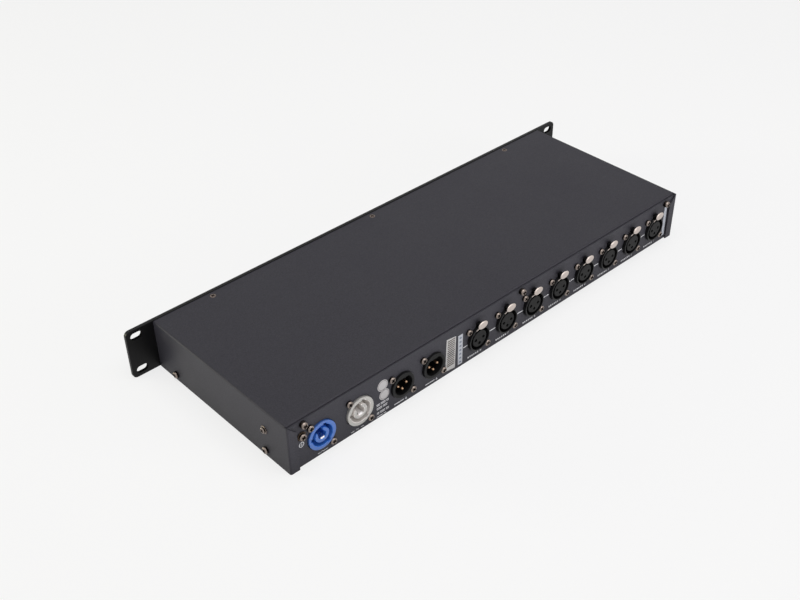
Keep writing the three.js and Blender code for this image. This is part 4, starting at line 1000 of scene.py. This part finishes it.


# Screws, in millimetres. A pan head's section is (share of the radius, share of the height). A
# cross recess is its reach and half its arm's width, and then how much it narrows and how deep it
# goes, each as a share of the head's radius.
# Plating, then painted shade for the cross recesses, and painted shade and reflection for the
# heads' sides
SCREW_FINISHES = ["nickel plating", "recess shade", "shaded nickel"]
HEAD_SIDES = [(0.02, 0.0), (0.0, 0.1), (0.0, 0.62)]
HEAD_CROWN = [(0.0, 0.62), (0.05, 0.8), (0.14, 0.93), (0.28, 1.0)]
PAN_RECESS = (0.66, 0.25, 0.06, 0.45)
SUNK_RECESS = (0.62, 0.2, 0.08, 0.5)
SHANK_RADIUS = 1.45
SHANK_FOOT = [(0.2, -6.0), (0.0, -5.8)]
SUNK_RADIUS = 2.4
FIXING_SHANK = 1.3
POWER_SCREW_OFFSET = (9.5, 12.0)

# The side screws with a toothed washer: the washer's rim and root over the head's radius, how
# much smaller the head is, its height and its seat on the washer
WASHER_OVER_HEAD = (0.7, -0.1)
WASHER_LEVELS = [(0.0, 0.02), (0.0, 0.4), (0.15, 0.55)]
WASHERED_HEAD_LESS = 0.5
WASHERED_HEAD_HEIGHT = 1.6
WASHERED_HEAD_LIFT = 0.5

# The earth screw: its washer's rim and root, its head's radius and height, its shank and nut
EARTH_WASHER = (3.8, 3.0)
EARTH_WASHER_LEVELS = [(0.0, 0.02), (0.0, 0.7), (0.15, 0.9)]
EARTH_HEAD = (2.9, 2.2)
EARTH_HEAD_LIFT = 0.9
EARTH_SHANK = [(0.0, -4.8), (0.0, 1.0)]
NUT_RADIUS = 3.55
NUT_BACK = -4.5


def pan_head(form, place, radius, height, turn, lift=0.02):
    """A domed screw head with a cross recess, lifted off its seat."""
    reach, arm, narrowing, depth = [radius * share for share in PAN_RECESS]
    recess = turned(cross(reach, arm), turn)
    sides, crown = [[(radius * inwards, lift + height * up) for inwards, up in section]
                    for section in (HEAD_SIDES, HEAD_CROWN)]
    top = lift + height
    # The sides take the dark shaded nickel: painted shade and painted reflection of the black
    # wall
    body(form, place, circle(radius, 40), sides, finish=2)
    body(form, place, circle(radius, 40), crown,
         [(recess, [(0.0, top), (narrowing, top - depth)], False, 1)])


def sunk_head(form, place, radius, turn):
    """A flush countersunk head with a cross recess."""
    reach, arm, narrowing, depth = [radius * share for share in SUNK_RECESS]
    recess = turned(cross(reach, arm), turn)
    body(form, place, circle(radius, 40),
         [(0.5 * radius, -1.5), (0.04, -0.12), (0.0, -0.06), (0.1, 0.0)],
         [(recess, [(0.0, 0.0), (narrowing, -depth)], False, 1)])


class SPLITTER_OT_screws(Operator):
    """Builds every screw with its head, shank and cross recess"""

    bl_idname = "splitter.screws"
    bl_label = "Screws"

    def execute(self, context):
        own = context.scene.splitter_screws
        turns = random.Random(own.seed)
        self.case_screws(own, turns)
        self.sunk_screws(turns)
        self.fixing_screws(own, mm(context.scene.splitter_connectors.screw_offset), turns)
        self.earth_screw(turns)
        return {"FINISHED"}

    def case_screws(self, own, turns):
        """Pan heads in the rear and the sides; the third in each side has a toothed washer."""
        head = mm(own.case_head)
        places = []
        for k in (1, 2, 3):
            x, _, z = middle("rear_screw_%d" % k)
            places.append(("rear_screw_%d" % k, "rear", (x, REAR_Y, z)))
            for side, wall in (("left", CASE_SIDE), ("right", -CASE_SIDE)):
                _, y, z = middle("side_screw_%s_%d" % (side, k))
                places.append(("side_screw_%s_%d" % (side, k), side, (wall, y, z)))
        for node, face, at in places:
            place = seat(face, at)
            form = bmesh.new()
            turn = turns.uniform(0, math.pi / 2)
            if node in ("side_screw_left_3", "side_screw_right_3"):
                body(form, place, toothed(*[head + over for over in WASHER_OVER_HEAD]),
                     WASHER_LEVELS)
                pan_head(form, place, head - WASHERED_HEAD_LESS, WASHERED_HEAD_HEIGHT, turn,
                         lift=WASHERED_HEAD_LIFT)
            else:
                height = own.rear_height if face == "rear" else own.case_height
                pan_head(form, place, head, mm(height), turn)
            body(form, place, circle(SHANK_RADIUS, 16), SHANK_FOOT + [(0.0, 0.3)])
            made(form, node + "_head", SCREW_FINISHES, "chassis", [node])

    def sunk_screws(self, turns):
        """Countersunk screws in the top and in the front panel."""
        places = []
        for k in (1, 2, 3):
            x, y, _ = middle("top_screw_%d" % k)
            places.append(("top_screw_%d" % k, "top", (x, y, CASE_TOP)))
        for side in ("left", "right"):
            x, _, z = middle("front_screw_" + side)
            places.append(("front_screw_" + side, "front", (x, PANEL_FACE, z)))
        for node, face, at in places:
            place = seat(face, at)
            form = bmesh.new()
            sunk_head(form, place, SUNK_RADIUS, turns.uniform(0, math.pi / 2))
            body(form, place, circle(SHANK_RADIUS, 16), SHANK_FOOT + [(0.0, -1.4)])
            made(form, node + "_head", ["dulled nickel", "recess shade"], "chassis",
                 [node])

    def fixing_screws(self, own, offset, turns):
        """Two screws for each connector, above and below it."""
        nodes = ["output_socket_%d" % n for n in OUTPUTS]
        nodes += ["input_socket_" + letter for letter in LETTERS]
        fixings = [(node, (offset, offset)) for node in nodes]
        fixings += [("power_" + kind, POWER_SCREW_OFFSET) for kind in POWERS]
        for k, (node, (across, up)) in enumerate(fixings, 1):
            for side, word in ((1, "upper"), (-1, "lower")):
                place = seat("rear", (middle(node)[0] + side * across * MM, REAR_Y,
                                      AXIS_Z + side * up * MM))
                form = bmesh.new()
                pan_head(form, place, mm(own.fixing_head), mm(own.fixing_height),
                         turns.uniform(0, math.pi / 2))
                body(form, place, circle(FIXING_SHANK, 16), [(0.0, FLANGE_BACK), (0.0, 0.3)])
                made(form, "fixing_screw_%s_%d" % (word, k), SCREW_FINISHES, "chassis")

    def earth_screw(self, turns):
        """The earth screw with its toothed washer, and its nut behind the wall."""
        x, _, z = middle("earth_screw")
        place = seat("rear", (x, REAR_Y, z))
        form = bmesh.new()
        body(form, place, toothed(*EARTH_WASHER), EARTH_WASHER_LEVELS, finish=3)
        pan_head(form, place, *EARTH_HEAD, turns.uniform(0, math.pi / 2), lift=EARTH_HEAD_LIFT)
        body(form, place, circle(NUT_RADIUS, 6),
             [(0.0, NUT_BACK), (0.0, FLANGE_FRONT - 0.2), (0.2, FLANGE_FRONT)])
        body(form, place, circle(SHANK_RADIUS, 16), EARTH_SHANK)
        made(form, "earth_screw_head", SCREW_FINISHES + ["browned steel"], "chassis",
             ["earth_screw"])


# Printing and labels

# Heights in millimetres over the wall: where ink lies, how thick it is, and how thick a label
# is, which is also where the ink on it lies
INK_LEVEL = 0.005
INK_THICK = 0.03
LABEL_THICK = 0.08

# Row of dashes and the number under an output: how far they stand from the socket's axis, and
# their height over the floor
DASHES = 6
DASH_PITCH = 2.1
DASH_SIZE = (1.3, 1.5)
ROW_ACROSS = 4.6
ROW_Z = 4.1
NUMBER_HEIGHT = 2.6
NUMBER_ACROSS = 8.4

# Rules between the outputs, from one socket's edge to the next; the one after output 5, where
# the two groups of four meet, is parted in its middle
RULE_FROM_AXIS = 11.6
RULE_Z = 17.5
RULE_HEIGHT = 0.8
PARTED_AFTER = 5
PARTED_BY = 0.8
LABEL_RULE = (-45.0, 17.0, 4.4)

# A wave mark: its lower edge from left to right, and its upper edge from right to left
WAVE_LOWER = [(-1.5, 0.0), (-0.8, 0.7), (0.0, 0.25), (0.8, -0.45), (1.5, 0.3)]
WAVE_UPPER = [(1.5, 0.9), (0.8, 0.15), (0.0, 0.85), (-0.8, 1.3), (-1.5, 0.6)]

# Rows of bars between the inputs and the power connectors: height, and the bars' ends. Each has
# a bolder bar over a finer one, as (up, height). The lowest row has only the bolder one, as the
# wall bends away under it.
BOLD_BAR = (0.3, 0.7)
FINE_BAR = (-0.9, 0.5)
FINE_SHARE = 0.96
BEND_Z = 2.0
BAR_ROWS = (
    (13.1, ((136.4, 133.2), (132.4, 127.6), (126.8, 124.5))),
    (9.6, ((136.4, 131.0), (130.2, 126.0))),
    (5.3, ((136.4, 134.0), (133.2, 128.4), (127.6, 124.5))),
    (1.6, ((136.4, 130.6), (129.8, 127.4))),
)

# Middle and radius of each round sticker, its section, and the printed ring on it as shares of
# its radius; and the corners of the other labels
STICKERS = ((130.0, 28.9, 5.0), (128.7, 19.8, 4.8))
STICKER_LEVELS = [(0.0, 0.0), (0.0, 0.08), (0.05, 0.1)]
STICKER_RING = (0.86, 0.80)
STICKER_INK = (0.1, 0.12)
BAR_LABEL = [(-65.3, 34.6), (-66.4, 4.1), (-56.1, 2.9), (-55.5, 33.1)]
BLUE_LABEL = [(-53.0, 31.6), (-53.0, 3.0), (-48.1, 3.0), (-48.1, 31.6)]
EAR_STRIP = [(203.6, 37.4), (204.4, 4.2), (208.4, 4.0), (207.0, 37.2)]

# Columns of bars on two labels: how many, the first one's height, the step down to the next,
# and their sizes. The first column leans with its label, by LABEL_LEAN over its length; every
# third bar of it is longer, and some are darker.
LABEL_BARS, LABEL_TOP, LABEL_STEP = 14, 32.0, 1.85
LABEL_X, LABEL_LEAN, LABEL_LENGTH = 60.2, 0.8, 31.0
SHORT_BAR, LONG_BAR, LABEL_BAR_HEIGHT = 7.6, 8.2, 1.15
DARK_BARS = (6, 7, 8)
BLUE_BARS, BLUE_TOP, BLUE_STEP, BLUE_X = 7, 28.6, 3.9, 50.5
BLUE_BAR = (2.2, 1.7)

# Marks under the inputs: their places, a bar as (across, up, width, height), and a triangle
INPUT_MARKS = (112.6, 81.0)
INPUT_BAR = (-1.7, 3.3, 9.6, 0.9)
TRIANGLE = [(4.2, 2.3), (6.4, 2.3), (5.3, 4.4)]

# Marks under the power connectors: (place, height over the floor, width), a dash at each end,
# and how far the wave lies below them
POWER_MARKS = ((155.2, 2.5, 12.4), (187.4, 2.6, 9.5))
POWER_DASH = (3.0, 0.55)
POWER_DASH_INSET = 1.6
WAVE_DROP = 0.4

# Earth mark: its place in metres, its ring's radii, its stem, and its bars as (up, width)
EARTH_MARK = (0.2053, REAR_Y, 0.0205)
EARTH_RING = (2.25, 1.75)
EARTH_STEM = (0.0, 0.75, 0.3, 1.1)
EARTH_BARS = ((0.15, 2.0), (-0.45, 1.35), (-1.05, 0.7))
EARTH_BAR_HEIGHT = 0.3

# On the front panel: numbers under the output lamps, and bars under the rest
PANEL_NUMBER_HEIGHT = 3.0
PANEL_NUMBER_UP = -6.2
PANEL_BAR_UP = -7.4
PANEL_BAR_HEIGHT = 0.5
BUTTON_XS = [51.0, -31.0]
BUTTON_BAR = 6.0
LAMP_BAR = 4.0


def number_outlines(text, height):
    """Flat faces of a number in the built-in typeface, as corners in millimetres."""
    size_for_height = 1.4
    curve = bpy.data.curves.new("number", "FONT")
    curve.body = text
    curve.align_x = "CENTER"
    curve.align_y = "CENTER"
    curve.size = height * size_for_height
    curve.resolution_u = 3
    carrier = bpy.data.objects.new("number", curve)
    mesh = bpy.data.meshes.new_from_object(carrier)
    faces = [[tuple(mesh.vertices[k].co[:2]) for k in polygon.vertices]
             for polygon in mesh.polygons]
    bpy.data.objects.remove(carrier)
    bpy.data.curves.remove(curve)
    bpy.data.meshes.remove(mesh)
    return faces


def plate(form, place, corners, level=INK_LEVEL, thick=INK_THICK, finish=0):
    """A thin printed patch between corner points."""
    lower, upper = [[form.verts.new(place @ Vector((a, b, up))) for a, b in corners]
                    for up in (level, level + thick)]
    band(form, lower, upper, finish)
    for loop in (lower, upper):
        form.faces.new(loop).material_index = finish


def bar(form, place, across, up, width, height, level=INK_LEVEL, finish=0):
    """A thin printed bar about a middle point."""
    w, h = width / 2, height / 2
    plate(form, place, [(across - w, up - h), (across + w, up - h), (across + w, up + h),
                        (across - w, up + h)], level, finish=finish)


def print_number(form, place, text, height, across, up):
    """A printed number about a middle point."""
    for corners in number_outlines(text, height):
        plate(form, place, moved(corners, across, up))


def print_outputs(form, wall):
    """Dashes, number and rules of the eight outputs."""
    centres = [middle("output_socket_%d" % n)[0] / MM for n in OUTPUTS]
    for n, x in zip(OUTPUTS, centres):
        across = -(x + ROW_ACROSS)
        for k in range(DASHES):
            bar(form, wall, across + DASH_PITCH * (k - (DASHES - 1) / 2), ROW_Z, *DASH_SIZE)
        print_number(form, wall, str(n), NUMBER_HEIGHT, across + NUMBER_ACROSS, ROW_Z)
    for n, first, second in zip(OUTPUTS, centres, centres[1:]):
        start, end = first - RULE_FROM_AXIS, second + RULE_FROM_AXIS
        if n == PARTED_AFTER:
            half = (start - end) / 2 - PARTED_BY / 2
            for across in (start - half / 2, end + half / 2):
                bar(form, wall, -across, RULE_Z, half, RULE_HEIGHT)
        else:
            bar(form, wall, -(start + end) / 2, RULE_Z, start - end, RULE_HEIGHT)
    # The rule that leads from output 8 to the blue label
    bar(form, wall, *LABEL_RULE, RULE_HEIGHT)


def print_inputs(form, wall):
    """A bar and a triangle under each input."""
    for x in INPUT_MARKS:
        bar(form, wall, -x + INPUT_BAR[0], *INPUT_BAR[1:])
        plate(form, wall, moved(TRIANGLE, -x, 0.0))


def print_power(form, wall):
    """Two dashes with a wave between them under each power connector."""
    for x, z, width in POWER_MARKS:
        for side in (-1, 1):
            bar(form, wall, -x + side * (width / 2 - POWER_DASH_INSET), z, *POWER_DASH)
        for k in range(4):
            quad = [WAVE_LOWER[k], WAVE_LOWER[k + 1], WAVE_UPPER[3 - k], WAVE_UPPER[4 - k]]
            plate(form, wall, moved(quad, -x, z - WAVE_DROP))


def print_rows(form, wall):
    """Rows of bars between the inputs and the power connectors."""
    for z, spans in BAR_ROWS:
        for start, end in spans:
            across, width = -(start + end) / 2, start - end
            bar(form, wall, across, z + BOLD_BAR[0], width, BOLD_BAR[1])
            if z > BEND_Z:
                bar(form, wall, across, z + FINE_BAR[0], width * FINE_SHARE, FINE_BAR[1])


def print_earth(form):
    """The earth mark: a ring round a stem over three bars."""
    earth = seat("rear_print", EARTH_MARK)
    outer, inner = EARTH_RING
    top = INK_LEVEL + INK_THICK
    body(form, earth, circle(outer, 40), [(0.0, INK_LEVEL), (0.0, top)],
         [(circle(inner, 40), [(0.0, top), (0.0, INK_LEVEL)], True, 0)])
    bar(form, earth, *EARTH_STEM)
    for up, width in EARTH_BARS:
        bar(form, earth, 0.0, up, width, EARTH_BAR_HEIGHT)


def stick_labels(form, wall):
    """Two round stickers, a label with a column of bars, a blue label and a plain strip."""
    for x, z, radius in STICKERS:
        spot = seat("rear_print", (x * MM, REAR_Y, z * MM))
        outer, inner = [circle(radius * share, 56) for share in STICKER_RING]
        low, high = [(0.0, level) for level in STICKER_INK]
        body(form, spot, circle(radius, 56), STICKER_LEVELS, finish=5)
        body(form, spot, outer, [low, high], [(inner, [high, low], True, 0)], finish=1)
    plate(form, wall, BAR_LABEL, 0.0, LABEL_THICK)
    for k in range(LABEL_BARS):
        up = LABEL_TOP - LABEL_STEP * k
        across = -(LABEL_X + LABEL_LEAN * ((BAR_LABEL[0][1] - up) / LABEL_LENGTH))
        bar(form, wall, across, up, SHORT_BAR if k % 3 else LONG_BAR, LABEL_BAR_HEIGHT,
            LABEL_THICK, finish=3 if k in DARK_BARS else 1)
    plate(form, wall, BLUE_LABEL, 0.0, LABEL_THICK, finish=2)
    for k in range(BLUE_BARS):
        bar(form, wall, -BLUE_X, BLUE_TOP - BLUE_STEP * k, *BLUE_BAR, LABEL_THICK, finish=4)
    plate(form, wall, EAR_STRIP, 0.0, LABEL_THICK, finish=6)


def print_panel(form):
    """Numbers under the output lamps, and bars under the other lamps and the buttons."""
    front = seat("front", (0, PANEL_FACE, middle("select_button_1")[2]))
    for k, x in enumerate(OUTPUT_LAMPS, 1):
        print_number(form, front, str(k), PANEL_NUMBER_HEIGHT, x, PANEL_NUMBER_UP)
    for row, width in ((BUTTON_XS, BUTTON_BAR), (INPUT_LAMPS + [POWER_LAMP], LAMP_BAR)):
        for x in row:
            bar(form, front, x, PANEL_BAR_UP, width, PANEL_BAR_HEIGHT)


class SPLITTER_OT_printing(Operator):
    """Prints the rules, numbers and marks, and sticks on the plain labels"""

    bl_idname = "splitter.printing"
    bl_label = "Printing and labels"

    def execute(self, context):
        wall = seat("rear_print", (0, REAR_Y, 0))
        form = bmesh.new()
        print_outputs(form, wall)
        print_inputs(form, wall)
        print_power(form, wall)
        print_rows(form, wall)
        print_earth(form)
        made(form, "wall_printing", ["printing ink"], "chassis")

        form = bmesh.new()
        stick_labels(form, wall)
        made(form, "wall_labels",
             ["label paper", "label grey ink", "label blue paper", "label dark ink",
              "label blue ink", "sticker paper", "strip film"], "chassis")

        form = bmesh.new()
        print_panel(form)
        made(form, "panel_printing", ["printing ink"], "chassis")
        return {"FINISHED"}


class SPLITTER_OT_inside(Operator):
    """Gives the boards, leads and wires inside the case their finishes"""

    bl_idname = "splitter.inside"
    bl_label = "Inside"

    def execute(self, context):
        for node in ("main_board", "power_supply"):
            even_shading(node, "solder resist")
        for node, kind in (
                ("line_link_wire", "brown"), ("neutral_link_wire", "blue"),
                ("earth_link_wire", "green"), ("line_feed_wire", "brown"),
                ("neutral_feed_wire", "blue"), ("earth_wire", "green"),
                ("low_voltage_lead", "red"), ("ribbon_lead", "grey")):
            even_shading(node, kind + " insulation")
        return {"FINISHED"}


# Stage, in metres: half the floor's size, how far the case's shade reaches over the floor, the
# share of pure white in the floor as the camera sees it, and the camera's place. The shift is a
# share of the sensor's width.
FLOOR_HALF = 3.0
SHADE_REACH = 0.16
FLOOR_WHITE = 0.75
CAMERA_PLACE = (0.52456, 0.53558, 0.55644)
CAMERA_SHIFT = (-0.0072, 0.0104)
SENSOR_MM = 36.0


def make_floor(scene, own):
    """A pale floor that keeps the object's shadow and throws light up the walls."""
    form = bmesh.new()
    bmesh.ops.create_grid(form, x_segments=8, y_segments=8, size=FLOOR_HALF)
    mesh = bpy.data.meshes.new("floor")
    form.to_mesh(mesh)
    form.free()
    tree, surface, spot = textured("floor", own.floor, 0.004, 400.0, (0.85, 0.9), 3.0, 0.01,
                                   specular=0.1)
    # White to the camera and in reflections, but still darkened by the object's shadow
    path = add_node(tree, "ShaderNodeLightPath").outputs
    seen = add_node(tree, "ShaderNodeMath", {"operation": "MAXIMUM"}, {
        0: path["Is Camera Ray"], 1: path["Is Glossy Ray"]})
    share = add_node(tree, "ShaderNodeMath", {"operation": "MULTIPLY"}, {
        0: seen.outputs[0], 1: FLOOR_WHITE})
    white = add_node(tree, "ShaderNodeEmission", None, {"Color": WHITE, "Strength": 1.0})
    blend = add_node(tree, "ShaderNodeMixShader", None, {
        0: share.outputs[0], 1: surface.outputs[0], 2: white.outputs[0]})
    # A lit studio floor throws light up the walls, so shadows on them fall upwards. Close to
    # the case it is in shade, so the walls darken towards their foot.
    split = add_node(tree, "ShaderNodeSeparateXYZ", None, {0: spot}).outputs
    away = []
    for axis, reach in ((0, CASE_SIDE), (1, REAR_Y)):
        size = add_node(tree, "ShaderNodeMath", {"operation": "ABSOLUTE"}, {0: split[axis]})
        away.append(add_node(tree, "ShaderNodeMath", {"operation": "SUBTRACT"}, {
            0: size.outputs[0], 1: reach}))
    gap = add_node(tree, "ShaderNodeMath", {"operation": "MAXIMUM"}, {
        0: away[0].outputs[0], 1: away[1].outputs[0]})
    shade = add_node(tree, "ShaderNodeMapRange", None, {
        "Value": gap.outputs[0], "From Min": 0.0, "From Max": SHADE_REACH, "To Min": 0.0,
        "To Max": own.bounce})
    thrown = add_node(tree, "ShaderNodeMath", {"operation": "MULTIPLY"}, {
        0: path["Is Diffuse Ray"], 1: shade.outputs[0]})
    glow = add_node(tree, "ShaderNodeEmission", None, {
        "Color": WHITE, "Strength": thrown.outputs[0]})
    lit = add_node(tree, "ShaderNodeAddShader", None, {0: blend.outputs[0], 1: glow.outputs[0]})
    tree.links.new(lit.outputs[0], tree.nodes["Material Output"].inputs["Surface"])
    mesh.materials.append(bpy.data.materials["floor"])
    floor = bpy.data.objects.new("floor", mesh)
    scene.collection.objects.link(floor)


def make_background(scene, own):
    """A background that is white to the camera and in reflections, and lights evenly."""
    world = bpy.data.worlds.new("studio")
    world.use_nodes = True
    tree = world.node_tree
    tree.nodes.clear()
    path = add_node(tree, "ShaderNodeLightPath").outputs
    seen = path["Is Camera Ray"]
    for ray in ("Is Glossy Ray", "Is Transmission Ray"):
        seen = add_node(tree, "ShaderNodeMath", {"operation": "MAXIMUM"}, {
            0: seen, 1: path[ray]}).outputs[0]
    strength = add_node(tree, "ShaderNodeMapRange", None, {
        "Value": seen, "To Min": own.ambient, "To Max": 1.0})
    light = add_node(tree, "ShaderNodeBackground", None, {
        "Color": WHITE, "Strength": strength.outputs[0]})
    add_node(tree, "ShaderNodeOutputWorld", None, {"Surface": light.outputs[0]})
    scene.world = world


def make_lights(scene, own):
    """Three square lights that face the object: name, place, size, power, colour."""
    for name, place, size, power, shade in (
            ("overhead_light", (0.02, 0.28, 1.7), 1.6, own.key, (1.0, 0.99, 1.0)),
            ("rear_light", (-0.65, 1.6, 0.25), 0.8, own.rear, (1.0, 1.0, 1.0)),
            ("side_light", (1.18, -1.2, 0.17), 0.5, own.side, (1.0, 1.0, 0.72))):
        lamp = bpy.data.lights.new(name, "AREA")
        lamp.shape = "SQUARE"
        lamp.size = size
        lamp.energy = power
        lamp.color = shade
        holder = bpy.data.objects.new(name, lamp)
        holder.location = place
        holder.rotation_euler = (-Vector(place)).to_track_quat("-Z", "Y").to_euler()
        holder.visible_camera = False
        scene.collection.objects.link(holder)


def make_camera(scene, own):
    """The camera at the photograph's viewing angle."""
    azimuth, elevation = own.azimuth, own.elevation
    towards = Vector((math.sin(azimuth) * math.cos(elevation),
                      -math.cos(azimuth) * math.cos(elevation), math.sin(elevation)))
    turn = towards.to_track_quat("Z", "Y") @ Quaternion((0, 0, 1), own.roll)
    lens = bpy.data.cameras.new("camera")
    lens.sensor_width = SENSOR_MM
    lens.lens = own.lens
    lens.shift_x, lens.shift_y = CAMERA_SHIFT
    camera = bpy.data.objects.new("camera", lens)
    camera.location = CAMERA_PLACE
    camera.rotation_euler = turn.to_euler()
    scene.collection.objects.link(camera)
    scene.camera = camera


class SPLITTER_OT_stage(Operator):
    """Sets up the floor, the lights, the background and the camera"""

    bl_idname = "splitter.stage"
    bl_label = "Stage"

    def execute(self, context):
        own = context.scene.splitter_stage
        for make in (make_floor, make_background, make_lights, make_camera):
            make(context.scene, own)
        context.scene.view_settings.view_transform = "Standard"
        return {"FINISHED"}


OPERATORS = (
    SPLITTER_OT_finishes, SPLITTER_OT_case, SPLITTER_OT_front, SPLITTER_OT_outputs,
    SPLITTER_OT_latches, SPLITTER_OT_inputs, SPLITTER_OT_power, SPLITTER_OT_screws,
    SPLITTER_OT_printing, SPLITTER_OT_inside, SPLITTER_OT_stage,
)


class SPLITTER_PT_tools(Panel):
    """Lists the steps and the sizes of the splitter"""

    bl_idname = "SPLITTER_PT_tools"
    bl_label = "Splitter"
    bl_space_type = "VIEW_3D"
    bl_region_type = "UI"
    bl_category = "Splitter"

    def draw(self, context):
        for operator in OPERATORS:
            self.layout.operator(operator.bl_idname)
        for group, kind in GROUPS.items():
            box = self.layout.box()
            box.label(text=group.replace("_", " ").capitalize())
            for name in kind.__annotations__:
                box.prop(getattr(context.scene, group), name)


CLASSES = (*GROUPS.values(), *OPERATORS, SPLITTER_PT_tools)


def register():
    """Makes the operators, the panel and the settings known to Blender."""
    for kind in CLASSES:
        bpy.utils.register_class(kind)
    for name, kind in GROUPS.items():
        setattr(bpy.types.Scene, name, PointerProperty(type=kind))


def unregister():
    """Takes back what register did."""
    for name in GROUPS:
        delattr(bpy.types.Scene, name)
    for kind in reversed(CLASSES):
        bpy.utils.unregister_class(kind)


def main():
    """Builds the whole splitter and its stage."""
    register()
    for operator in OPERATORS:
        group, step = operator.bl_idname.split(".")
        getattr(getattr(bpy.ops, group), step)()


if __name__ == "__main__":
    main()
